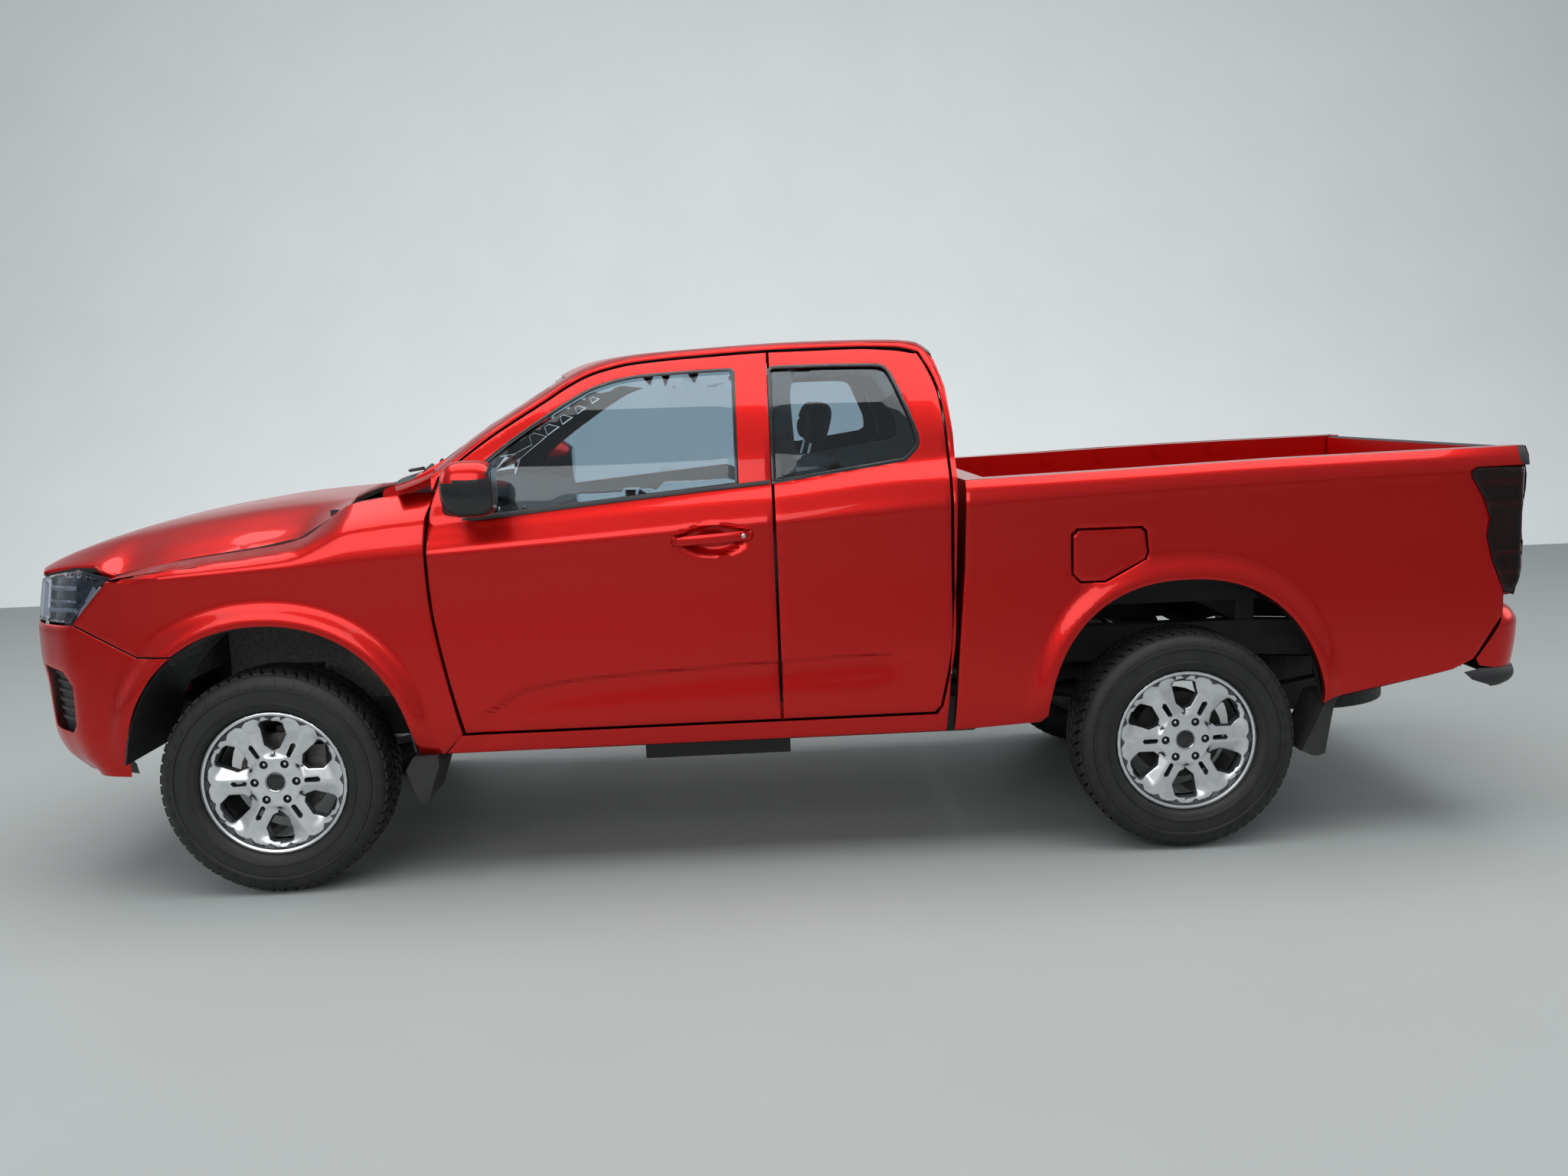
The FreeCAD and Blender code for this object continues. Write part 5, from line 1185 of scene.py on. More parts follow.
def backlight_loop():
    low = back_t(1.420)
    top = back_t(1.690)
    return [(top, -0.480), (top, 0.480), (low, 0.520), (low, -0.520)]


def cab_pieces():
    end = back_t(0.640)
    ts = [0.06 + (end - 0.06) * k / 70 for k in range(71)]
    left = [(t, -cab_edge(cab_track.at(t)[0].y)) for t in ts]
    right = [(t, -y) for t, y in reversed(left)]
    top = plate(left + right, [screen_loop(), backlight_loop()], (0.018, 0.030), cab_place, (0, 0, -1), 0.0,
                0.003)
    top = tinted(top, lambda c: c.x < -1.0 and c.z < 1.394 and abs(c.y) < 0.742, 2)
    aperture = aperture_run()
    side = [(-1.155, 0.454), (0.556, 0.454), (0.560, 0.498), (0.601, 1.010), (0.6125, 1.330), (0.6125, 1.379),
            (0.6105, 1.480), (0.5955, 1.634), (0.5655, 1.728), (0.5295, 1.772)]
    side += [(x, roof_edge_z(x) - 0.008) for x in (0.46, 0.315, 0.15, 0.051, -0.1, -0.235, -0.35, -0.473,
                                                   -0.55, -0.626, -0.70, -0.778, -0.878, -0.978, -1.05,
                                                   -1.128, -1.155)]
    side += [(-1.152, 1.346)] + [p for p in aperture if p[1] > 1.346 or p[0] > -0.9]
    side += [(aperture[0][0] + 0.002, DOOR_LOW - SHUT), (-1.100, DOOR_LOW - SHUT)]
    wall = plate(side, [], PANEL_STEPS, skin("cab"), (0, 1, 0), 0.024)

    def keep(centre, normal):
        if any(is_left(Vector((normal.x, normal.y * k, normal.z)), Vector((centre.x, centre.y * k, centre.z)))
               for k in (1, -1)):
            return False
        if normal.z > 0.4 and centre.z > 1.36 and centre.z > roof_edge_z(min(centre.x, 0.5)) - 0.022:
            return False
        return not (normal.x > 0.6 and centre.x > 0.585) and not in_window(centre, normal)

    def colour(centre, normal):
        inner = abs(centre.y) < 0.80 and -1.12 < centre.x < 0.59 and centre.z > 0.555
        return 1 if inner else 0
    body = cad_sheet("cab_shell", keep, colour)
    piece("cab_body", [top, wall, on_side(wall, 1), body], ["body_red", "headliner", "black_plastic"],
          "chassis", ["cab_shell"])
    panes = []
    bands = []
    for loop in (screen_loop(), backlight_loop()):
        panes.append(plate(inset(loop, 0.001, 0.03), [], (0.05, 0.05), deeper(cab_place, 0.008),
                           (0.004, 0, -0.003), 1.0, 0.0008, closed=True))
        bands.append(plate(inset(loop, 0.0005, 0.03), [inset(loop, 0.030, 0.03)], (0.03, 0.03),
                           deeper(cab_place, 0.0065), (0, 0, -0.001), 1.0, 0.0004))
    piece("cab_panes", panes, ["window_glass"], "chassis", ["cab_glass"])
    piece("screen_borders", bands, ["black_gloss"], "chassis")


cab_pieces()


# Hood and nose

nose_track = Track(NOSE_PLAN)
nose_x = curve(NOSE_PLAN[:8])


def hood_place(x, y):
    """Place on the hood for a point seen from above."""
    low = hood_line_z(x)
    crest = hood_crest_z(x)
    rows = ((0.0, crest + 0.011), (0.25, crest + 0.004), (0.388, crest - 0.002),
            (0.528, low + (crest - low) * 0.86), (0.667, low + (crest - low) * 0.42), (0.767, low),
            (0.80, low - 0.012))
    key = (round(x, 4), "hood")
    if key not in profiles:
        profiles[key] = curve(rows)
    return Vector((x, y, profiles[key](abs(y))))


def hood_pieces():
    edge = HOOD_HALF - 0.009
    front = [(nose_x(abs(y)) + 0.033, y) for y in (-0.68, *(k / 10 for k in range(-6, 7)), 0.68)]
    loop = drawn([(-1.448, -edge), (-2.236, -edge), [(-2.29, -0.752), (-2.330, -0.720)], *front,
                  [(-2.330, 0.720), (-2.29, 0.752), (-2.236, edge)], (-1.448, edge),
                  [(-1.497, 0.45), (-1.516, 0.22), (-1.522, 0.0), (-1.516, -0.22), (-1.497, -0.45)]])
    sheet = plate(loop, [], (0.020, 0.018), hood_place, (0, 0, -1), 0.016)
    under = cad_sheet("hood", lambda c, n: n.z < 0.3, lambda c, n: 1)
    piece("hood_skin", [sheet, under], ["body_red", "black_plastic"], "hood", ["hood"])


hood_pieces()


def nose_place(s, z, sink=0.0):
    """Place on the wrap-round nose at a distance from its middle, positive to the left."""
    point, way = nose_track.at(abs(s))
    half = point.x
    x = point.y
    inward = Vector((-way.y, way.x))
    if inward.y < 0:
        inward = -inward
    back = nose_setback(z) + sink
    front_half = half + inward.x * back
    front_x = x + inward.y * back
    weight = ease((x + 2.47) / 0.20)
    side_half = side_profile(x, "fender")(min(z, 1.0)) - sink
    half = front_half + (side_half - front_half) * weight
    x = front_x + (x - front_x) * weight
    if x > -2.31 and z < 0.95:
        half = half if sink else flared(x, z, half)
    return Vector((x, -half if s >= 0 else half, z))


def s_at_y(y):
    return nose_track.where(0, y)


def s_at_x(x):
    return nose_track.where(1, x)


def bumper_outline():
    seam = BUMPER_SEAM - 0.005
    arch = [p for p in arch_points(FRONT_ARCH, 0.0, 0.418) if p[0] < -1.9 and p[1] < seam]
    half = [(s_at_y(0.60), 0.416), (s_at_y(0.78), 0.420), (s_at_x(-2.30), 0.420)]
    half += [(s_at_x(x), z) for x, z in reversed(arch)]
    half += [(s_at_x(-2.022), seam), (s_at_x(-2.152), seam), (s_at_x(-2.366), 0.945), (s_at_y(0.562), 0.942),
             (s_at_y(0.561), 0.913)]
    return both_halves(half)


FOG_BARS = 6
INTAKE_BARS = 4


def fog_loop(sign, grow=0.0):
    a = s_at_y(0.705) - grow
    b = s_at_x(-2.405) + grow
    loop = [(a, 0.580 - grow), (b - 0.03, 0.572 - grow), (b, 0.60), (b + 0.012, 0.742),
            (b - 0.03, 0.785 + grow), (a + 0.02, 0.800 + grow), (a - 0.012, 0.70)]
    return [(s * sign, z) for s, z in loop]


def nose_plate(loop, sign, steps, sink, depth, colour, inward=1.0):
    """Plate at a depth behind the nose's skin; sign is 1 on the left and -1 on the right."""
    return plate([(s * sign, z) for s, z in loop], [], steps, deeper(nose_place, sink), (inward, 0, 0),
                 depth, 0.001, colours=(colour, colour))


def bumper_pieces():
    intake = [(-0.43, 0.545), (0.43, 0.545), (0.40, 0.700), (-0.40, 0.700)]
    sheets = [plate(bumper_outline(), [intake, fog_loop(1), fog_loop(-1)], (0.020, 0.012), nose_place,
                    (1, 0, 0), 0.0, 0.003),
              cad_sheet("front_bumper", lambda c, n: n.x > 0.3 and abs(c.y) < 0.80, lambda c, n: 1)]
    for sign in (1, -1):
        for k in range(FOG_BARS):
            low = 0.605 + 0.032 * k
            bar = four(s_at_y(0.712), s_at_x(-2.412), low, low + 0.012)
            sheets.append(nose_plate(bar, sign, (0.03, 0.012), 0.022, 0.03, 1, 0.8))
        sheets.append(nose_plate(fog_loop(1, 0.035), sign, (0.03, 0.03), 0.030, 0.004, 1))
    for k in range(INTAKE_BARS):
        low = 0.565 + 0.034 * k
        sheets.append(nose_plate(four(-0.44, 0.44, low, low + 0.013), 1, (0.05, 0.013), 0.030, 0.03, 1))
    for half, low, high, sink in ((0.46, 0.530, 0.715, 0.075), (0.59, 0.905, 1.095, 0.105)):
        sheets.append(nose_plate(four(-half, half, low, high), 1, (0.05, 0.05), sink, 0.004, 1))
    seam = [(s_at_x(-2.420), 0.930), (s_at_x(-2.160), 0.800), (s_at_x(-2.030), 0.800),
            (s_at_x(-2.030), 0.860), (s_at_x(-2.150), 0.860), (s_at_x(-2.400), 0.990)]
    sheets += [nose_plate(seam, sign, (0.03, 0.03), 0.016, 0.004, 1, 0.5) for sign in (1, -1)]
    piece("bumper_skin", sheets, ["body_red", "black_plastic"], "chassis", ["front_bumper"])


bumper_pieces()


def lamp_loop(sign, grow=0.0):
    gap = 0.004 - grow
    loop = [(s_at_y(0.566) + gap, 0.948 + gap), (s_at_x(-2.372) - gap, 0.951 + gap),
            (s_at_x(-2.242) - gap, 1.084), (s_at_x(-2.234) - gap, 1.099 - gap),
            (s_at_x(-2.306), 1.117 - gap), (s_at_x(-2.380), 1.127 - gap), (s_at_x(-2.450), 1.118 - gap),
            (s_at_y(0.70), 1.098 - gap), (s_at_y(0.566) + gap, 1.066 - gap)]
    return [(s * sign, z) for s, z in loop]


def lamp_pieces():
    covers = []
    insides = []
    a = s_at_y(0.60)
    b = s_at_x(-2.40)
    slant = [(s_at_x(-2.355), 0.972), (s_at_x(-2.335), 0.972), (s_at_x(-2.262), 1.070),
             (s_at_x(-2.282), 1.074)]
    for sign in (1, -1):
        covers.append(plate(lamp_loop(sign), [], (0.016, 0.012), nose_place, (1, 0, 0), 0.004, 0.0015,
                            closed=True))
        insides.append(nose_plate(lamp_loop(1, 0.002), sign, (0.03, 0.03), 0.050, 0.004, 0))
        for low, top, colour in ((0.972, 0.986, 2), (1.004, 1.012, 1), (1.046, 1.060, 1)):
            bar = [(a, low), (b, low + 0.012), (b, top + 0.012), (a, top)]
            insides.append(nose_plate(bar, sign, (0.03, 0.012), 0.028, 0.02, colour))
        insides.append(nose_plate(slant, sign, (0.02, 0.02), 0.016, 0.015, 2))
    piece("lamp_covers", covers, ["lamp_glass"], "chassis", ["headlamps"])
    piece("lamp_insides", insides, ["lamp_dark", "chrome", "lamp_white"], "chassis", slot="lamp_glass")


lamp_pieces()


# Wheels

WINDOW = [(0.106, 0.004), (0.128, 0.030), (0.190, 0.042), (0.205, 0.038), (0.2085, 0.018), (0.2085, -0.022),
          (0.201, -0.036), (0.160, -0.046), (0.116, -0.020)]
SLIT = [(0.096, 0.001), (0.101, 0.009), (0.142, 0.011), (0.150, 0.002), (0.145, -0.005), (0.100, -0.005)]
WHEEL_LIP = ((0.2262, 0.084), (0.2290, 0.0870), (0.2300, 0.096), (0.2330, 0.101), (0.2400, 0.1035),
             (0.2450, 0.102), (0.2460, 0.097), (0.2450, 0.090))
CAP_RING = ((0.0300, 0.078), (0.0312, 0.0855), (0.0335, 0.0865), (0.0345, 0.080))
SPOKES = 6
SPOKE_ANGLES = [math.pi / 3 * k for k in range(SPOKES)]
HUB_OUT = 0.785
FACE_OUT = 0.0875
STUD_CIRCLE = 0.0699


def turned_loop(loop, angle):
    c = math.cos(angle)
    n = math.sin(angle)
    return [(r * c - t * n, r * n + t * c) for r, t in loop]


def spoke_face(u, v):
    """How far the machined face stands out at a place on the wheel."""
    r = math.hypot(u, v)
    angle = math.atan2(v, u)
    offset = (angle + math.pi / 6) % (math.pi / 3) - math.pi / 6
    t = r * math.sin(offset)
    spoke = ease((r - 0.080) / 0.02) * (1 - ease((r - 0.180) / 0.045))
    ridge = 0.20 * max(0.0, t + 0.004) + 0.42 * max(0.0, -t - 0.012)
    return FACE_OUT - spoke * ridge


def wheel_piece(place, out):
    node = "rim_" + place
    low, high = (Vector(c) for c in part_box(node))
    centre = (low + high) / 2
    hub = Vector((centre.x, HUB_OUT * out, centre.z))

    def face(u, v):
        return hub + Vector((u * -out, spoke_face(u, v) * out, v))

    def ring(profile, count):
        return lathe([(r, w * out) for r, w in profile], count, hub)
    holes = [turned_loop(WINDOW, math.pi / 6 + a) for a in SPOKE_ANGLES]
    holes += [turned_loop(SLIT, a) for a in SPOKE_ANGLES]
    holes += [ellipse(0.0135, 0.0135, 16, (STUD_CIRCLE * math.cos(a), STUD_CIRCLE * math.sin(a)))
              for a in SPOKE_ANGLES]
    holes.append(ellipse(0.034, 0.034, 32))
    disc = plate(ellipse(0.2285, 0.2285, 96), holes, (0.006, 0.006), face, (0, -out, 0), 0.034, 0.0012,
                 colours=(0, 1))
    cap = dome(hub + Vector((0, 0.074 * out, 0)), 0.0325, 0.009, out, 32)
    sheets = [disc, coloured(ring(WHEEL_LIP, 120), 0), coloured(cap, 2), coloured(ring(CAP_RING, 48), 3)]
    for a in SPOKE_ANGLES:
        stud = hub + Vector((STUD_CIRCLE * math.cos(a) * -out, 0.066 * out, STUD_CIRCLE * math.sin(a)))
        seat = lathe([(0.0005, 0.0), (0.0150, 0.0)], 16, stud - Vector((0, 0.001 * out, 0)))
        sheets += [coloured(dome(stud, 0.0100, 0.021, out, 6), 3), coloured(seat, 1)]
    sheets.append(cad_sheet(node, lambda c, n: (c.y - hub.y) * out < 0.045
                            or math.hypot(c.x - hub.x, c.z - hub.z) > 0.2315, lambda c, n: 1))
    piece("wheel_" + place + "_alloy", sheets, ["alloy", "rim_dark", "black_gloss", "chrome"],
          "wheel_" + place, [node], 30.0)


for place_name, outward in PLACES:
    wheel_piece(place_name, outward)


# Mirrors and door handles

def blob(centre, radii, power, colour, columns, rows, clip=None):
    """Rounded closed form, cut off beyond clip; the colour test sees each face's middle."""
    points, faces = round_box(power, columns, rows)
    verts = [tuple(centre[k] + radii[k] * p[k] for k in range(3)) for p in points]
    if clip:
        verts = [(min(x, clip), y, z) for x, y, z in verts]
    kinds = [colour(sum((Vector(verts[q]) for q in face), Vector()) / 4) for face in faces]
    return turned_out(verts, faces, kinds, Vector((0, 0, 1)))


def mirror_colour(centre):
    """2 for the glass, 1 for the red cap on top and 0 for the black shell."""
    if centre.x > -0.913:
        return 2
    return 1 if centre.z > 1.392 + 0.10 * (centre.x + 0.98) and centre.x < -0.925 else 0


def mirror_pieces():
    for word, side in SIDES:
        head = blob((-0.990, 1.003 * side, 1.358), (0.094, 0.071, 0.092), 3.0, mirror_colour, 56, 28, -0.912)
        arm = sweep(smooth_path([(-1.068, 0.850 * side, 1.297), (-1.066, 0.890 * side, 1.300),
                                 (-1.050, 0.925 * side, 1.307), (-1.020, 0.955 * side, 1.315)]),
                    ellipse(0.021, 0.016, 16))
        foot = blob((-1.068, 0.866 * side, 1.300), (0.046, 0.016, 0.036), 4.0, lambda c: 0, 24, 12)
        piece("mirror_shell_" + word, [head, coloured(arm, 0), foot], ["black_gloss", "body_red", "chrome"],
              "front_door_" + word, ["mirror_" + word])


mirror_pieces()


HANDLE_RUN = ((-0.352, 0.000), (-0.346, 0.012), (-0.325, 0.022), (-0.280, 0.0275), (-0.215, 0.030),
              (-0.150, 0.0285), (-0.112, 0.024), (-0.094, 0.012), (-0.088, 0.000))
HANDLE_Z = 1.158
HANDLE_RISE = 0.052
LOCK_X = -0.115


def handle_pieces():
    section = [(0.0072 * math.copysign(abs(math.cos(a)) ** 0.7, math.cos(a)),
                0.0165 * math.copysign(abs(math.sin(a)) ** 0.8, math.sin(a)))
               for a in (2 * math.pi * k / 18 for k in range(18))]
    lock_z = HANDLE_Z + HANDLE_RISE * 0.100
    for word, side in SIDES:
        points = []
        for x, proud in HANDLE_RUN:
            z = HANDLE_Z + HANDLE_RISE * (x + 0.215)
            points.append(Vector((x, side * (side_profile(x, "cab")(z) - 0.004 + proud * 0.85), z)))
        grip = sweep(smooth_path(points, 5), section)
        lock = (LOCK_X, side * (side_profile(LOCK_X, "cab")(lock_z) + 0.026), lock_z)
        barrel = dome(lock, 0.0075, 0.003, side, 20)
        piece("door_handle_" + word, [coloured(grip, 0), coloured(barrel, 1)], ["body_red", "chrome"],
              "front_door_" + word)


handle_pieces()


# Quarter glass borders, belt mouldings and tail lamps

QUARTER_CLEAR = [(0.070, 1.452), (0.062, 1.620), [(0.074, 1.668), (0.120, 1.684)], (0.300, 1.684),
                 [(0.348, 1.672), (0.372, 1.630)], (0.416, 1.530), [(0.420, 1.480), (0.396, 1.462)],
                 (0.120, 1.424), [(0.085, 1.428), (0.070, 1.452)]]
BELT_STRIP = [(-1.032, 1.243), (-0.915, 1.252), (-0.588, 1.282), (-0.294, 1.307), (-0.020, 1.328),
              (-0.020, 1.342), (-0.294, 1.321), (-0.588, 1.296), (-0.915, 1.267), (-1.036, 1.256)]


def border_pieces():
    band = plate(inset(drawn(REAR_WINDOW), 0.001), [drawn(QUARTER_CLEAR)[:-1]], (0.02, 0.02),
                 moved(glass_place, (0, 0.0058, 0)), (0, 1, 0), 0.0012, 0.0004)
    strip = plate(BELT_STRIP, [], (0.03, 0.010), moved(skin("cab"), (0, -0.004, 0)), (0, 1, 0), 0.008, 0.002)
    for word, side in SIDES:
        piece("quarter_glass_border_" + word, [on_side(band, side)], ["black_gloss"], "rear_door_" + word)
        piece("belt_moulding_" + word, [on_side(strip, side)], ["black_plastic"], "front_door_" + word)


border_pieces()


def tail_place(x, z):
    """Left rear corner, which turns in behind the lamp."""
    half = side_profile(x, "bed")(z) + 0.001 - 0.9 * max(0.0, x - 2.565) - 6.0 * max(0.0, x - 2.585)
    return Vector((x, -half, z))


def tail_pieces():
    outline = TAIL_LAMP_FRONT[::-1] + ((2.544, 0.850), (2.585, 0.931), (2.594, 1.023), (2.582, 1.061),
                                       (2.580, 1.134), (2.597, 1.213), (2.598, 1.262), (2.590, 1.292))
    outline = inset(list(outline), 0.002)
    cover = plate(outline, [], (0.014, 0.014), tail_place, (0, 1, 0), 0.003, 0.002, closed=True)
    parts = [plate(drawn_in(outline, 0.001), [], (0.03, 0.03), moved(tail_place, (-0.004, 0.030, 0)),
                   (0, 1, 0), 0.003, 0.001)]
    for low, high, start, end in ((1.225, 1.250, 2.425, 2.585), (1.155, 1.170, 2.455, 2.575),
                                  (0.985, 1.000, 2.475, 2.575), (0.915, 0.930, 2.500, 2.565)):
        bar = [(start, low), (end, low), (end, high), (start - 0.01, high)]
        parts.append(plate(bar, [], (0.03, 0.01), moved(tail_place, (-0.004, 0.016, 0)), (0, 1, 0), 0.014,
                           0.002, colours=(1, 1)))
    insides = [on_side(part, side) for _, side in SIDES for part in parts]
    insides.append(cad_sheet("tail_lamps", lambda c, n: n.y * c.y < 0.35 * abs(c.y),
                             lambda c, n: 2 if n.x > 0.3 else 3))
    piece("tail_covers", [on_side(cover, side) for _, side in SIDES], ["tail_lamp"], "chassis",
          ["tail_lamps"])
    piece("tail_insides", insides, ["lamp_back", "lamp_red", "lamp_rear", "body_red"], "chassis",
          slot="tail_lamp")


tail_pieces()


# Rear bumper

tail_track = Track([(0.0, 2.640), (0.300, 2.638), (0.600, 2.632), (0.720, 2.620), (0.800, 2.600),
                    (0.862, 2.558), (0.893, 2.490), (0.897, 2.400), (0.897, 2.340)])


UPPER_SETBACK = curve(((0.540, 0.050), (0.575, 0.026), (0.610, 0.016), (0.700, 0.004), (0.745, 0.002),
                       (0.790, 0.022), (0.815, 0.060), (0.830, 0.100)))
LOWER_SETBACK = curve(((0.500, 0.090), (0.520, 0.046), (0.540, 0.016), (0.560, 0.006), (0.580, 0.010),
                       (0.600, 0.030)))
DECK_Z = 0.7915


def tail_bumper(setback, sink=0.0):
    """Place on the wrap-round rear bumper at a distance from its middle, positive to the left."""
    def place(s, z):
        point, way = tail_track.at(abs(s))
        back = setback(z) + sink
        half = point.x - abs(way.y) * back
        return Vector((point.y - abs(way.x) * back, -half if s >= 0 else half, z))
    return place


def tail_s(x):
    return tail_track.where(1, x)


def rear_bumper_pieces():
    red = both_halves([(tail_s(2.52), 0.585), (tail_s(2.43), 0.603), (tail_s(2.416), 0.628),
                       (tail_s(2.508), 0.768), (tail_s(2.524), 0.796), (tail_s(2.560), 0.812),
                       (0.74, 0.800), (0.66, 0.785)])
    step = both_halves([(tail_s(2.50), 0.520), (tail_s(2.40), 0.555), (tail_s(2.372), 0.582),
                        (tail_s(2.44), 0.592), (0.60, 0.592)])
    deck = [(2.500, -0.735), (2.604, -0.70), (2.616, 0.0), (2.604, 0.70), (2.500, 0.735)]
    sheets = [plate(red, [four(-0.27, 0.27, 0.610, 0.735)], (0.025, 0.010), tail_bumper(UPPER_SETBACK),
                    (-1, 0, 0), 0.0, 0.003),
              plate(step, [], (0.025, 0.008), tail_bumper(LOWER_SETBACK), (-1, 0, 0), 0.0, 0.003,
                    colours=(1, 1)),
              plate(four(-0.28, 0.28, 0.600, 0.745), [], (0.05, 0.03), tail_bumper(UPPER_SETBACK, 0.030),
                    (-1, 0, 0), 0.004, 0.002, colours=(1, 1)),
              plate(deck, [], (0.05, 0.05), lambda x, y: Vector((x, y, DECK_Z)), (0, 0, -1), 0.020, 0.003,
                    colours=(1, 1)),
              cad_sheet("rear_bumper", lambda c, n: c.x < 2.555 and abs(c.y) < 0.53, lambda c, n: 1)]
    piece("rear_bumper_skin", sheets, ["body_red", "black_plastic"], "chassis", ["rear_bumper"])


rear_bumper_pieces()


# Tailgate

def tailgate_pieces():
    low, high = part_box("tailgate")
    x_back = high[0] - 0.004
    profile = curve(((0.859, 0.012), (0.880, 0.004), (0.905, 0.0), (1.200, 0.0), (1.265, 0.006),
                     (1.300, 0.012), (1.330, 0.004), (1.348, 0.006), (1.356, 0.014)))

    def place(y, z):
        bow = 0.004 * (y / 0.75) ** 2
        press = 0.006 * ease((0.60 - abs(y)) / 0.02) * ease((z - 0.93) / 0.02) * ease((1.19 - z) / 0.02)
        return Vector((x_back - profile(z) - bow - press, y, z))
    handle = [(-0.110, 1.215), (0.110, 1.215), (0.104, 1.278), (-0.104, 1.278)]
    lever = [(-0.085, 1.232), (0.085, 1.232), (0.080, 1.262), (-0.080, 1.262)]
    sheets = [plate(four(-0.746, 0.746, 0.862, 1.352), [handle], (0.020, 0.010), place, (-1, 0, 0), 0.026,
                    0.004),
              plate(inset(handle, -0.004), [], (0.03, 0.02), moved(place, (-0.024, 0, 0)), (-1, 0, 0),
                    0.003, 0.001, colours=(1, 1)),
              plate(lever, [], (0.02, 0.01), moved(place, (-0.006, 0, 0)), (-1, 0, 0), 0.016, 0.004,
                    colours=(1, 1)),
              cad_sheet("tailgate", lambda c, n: n.x < 0.5 or c.x < low[0] + 0.01,
                        lambda c, n: 1 if c.z > 1.345 else 0)]
    piece("tailgate_skin", sheets, ["body_red", "black_plastic"], "tailgate", ["tailgate"])


tailgate_pieces()


# Seats

SEAT_Y = 0.375
SEW_DEPTH = 0.007
SEW_WIDTH = 0.006


def padding(centre, half, lean, grooves, power=4.5, crown=0.012, columns=56, rows=30):
    """Crowned cushion with sewn channels, given as (axis, place) pairs; lean tips it back about Y."""
    c = math.cos(lean)
    n = math.sin(lean)
    points, faces = round_box(power, columns, rows)
    verts = []
    for place in points:
        swell = crown * (1 - place[0] ** 2) * (1 - place[1] ** 2)
        sew = sum(SEW_DEPTH * math.exp(-((place[axis] - at) * half[axis] / SEW_WIDTH) ** 2)
                  for axis, at in grooves)
        x, y, z = (place[k] * half[k] for k in range(3))
        z += (swell - sew) * max(0.0, place[2]) ** 2 - crown
        verts.append((centre[0] + x * c + z * n, centre[1] + y, centre[2] - x * n + z * c))
    return turned_out(verts, faces, [0] * len(faces), Vector((0, 0, 1)))


def seat_pieces():
    upright = math.radians(-75.0)
    lines = [(0, -0.45), (0, 0.0), (0, 0.45), (1, -0.66), (1, 0.66)]
    pads = []
    for word, side in SIDES:
        y = SEAT_Y * side
        pads.append(("seat_cushion_" + word, padding((-0.305, y, 0.818), (0.262, 0.242, 0.062), -0.06,
                                                     lines)))
        pads.append(("seat_back_" + word, padding((0.072, y, 1.112), (0.275, 0.232, 0.058), upright, lines)))
        pads.append(("head_rest_" + word, padding((0.160, y, 1.520), (0.078, 0.124, 0.046), upright,
                                                  [(0, 0.0)], 3.0, 0.006, 36, 20)))
    pads.append(("bench_cushion", padding((0.442, 0.0, 0.800), (0.108, 0.590, 0.056), 0.0,
                                          [(1, -0.5), (1, 0.0), (1, 0.5)], 5.0, 0.008, 72, 24)))
    for name, sheet in pads:
        obj = piece(name, [sheet], ["seat_cloth"], "chassis", ["seats"], 60.0)
    sheets = [cad_sheet("seats", lambda c, n: c.z < 0.757, lambda c, n: 0)]
    for y in (-SEAT_Y, SEAT_Y):
        for dy in (-0.055, 0.055):
            post = [(0.118, y + dy, 1.36), (0.136, y + dy, 1.42), (0.152, y + dy, 1.48)]
            sheets.append(coloured(sweep(post, ellipse(0.006, 0.006, 10), up=(0, 1, 0)), 1))
    piece("seat_bases", sheets, ["cabin_plastic", "chrome"], "chassis")


seat_pieces()


# Steering wheel and dashboard

def steering_pieces():
    tilt = math.radians(25.0)
    axis = Vector((math.cos(tilt), 0, math.sin(tilt)))
    up = Vector((-math.sin(tilt), 0, math.cos(tilt)))
    side = Vector((0, 1, 0))
    post = Vector((-0.700, 0.375, 1.080))
    ring = [post + side * a + up * b for a, b in ellipse(0.185, 0.185, 64)]
    sheets = [coloured(sweep(ring, ellipse(0.0148, 0.0148, 14), True, tuple(axis)), 0)]
    for a in (0.0, math.pi, -math.pi / 2):
        way = side * math.cos(a) + up * math.sin(a)
        run = [post + way * r - axis * d for r, d in ((0.030, 0.002), (0.080, 0.004), (0.130, 0.002),
                                                      (0.182, 0.0))]
        sheets.append(coloured(sweep(smooth_path(run, 4), ellipse(0.018, 0.006, 12), up=tuple(axis)), 1))
    verts, faces, kinds = blob((0, 0, 0), (0.018, 0.066, 0.058), 3.0, lambda c: 0, 32, 16)
    sheets.append(([tuple(post + axis * x + side * y + up * z) for x, y, z in verts], faces, kinds))
    sheets.append(cad_sheet("steering_wheel", lambda c, n: (Vector(c) - post).dot(axis) < -0.014,
                            lambda c, n: 0))
    piece("steering_rim", sheets, ["cabin_plastic", "chrome"], "steering_wheel", ["steering_wheel"])


steering_pieces()
softened("dash_moulding", "dashboard", 0.014, "cabin_plastic")
softened("scuttle_cover", "cowl_panel", 0.003, "black_plastic")
softened("grille_bars", "grille", 0.0035, "black_gloss")


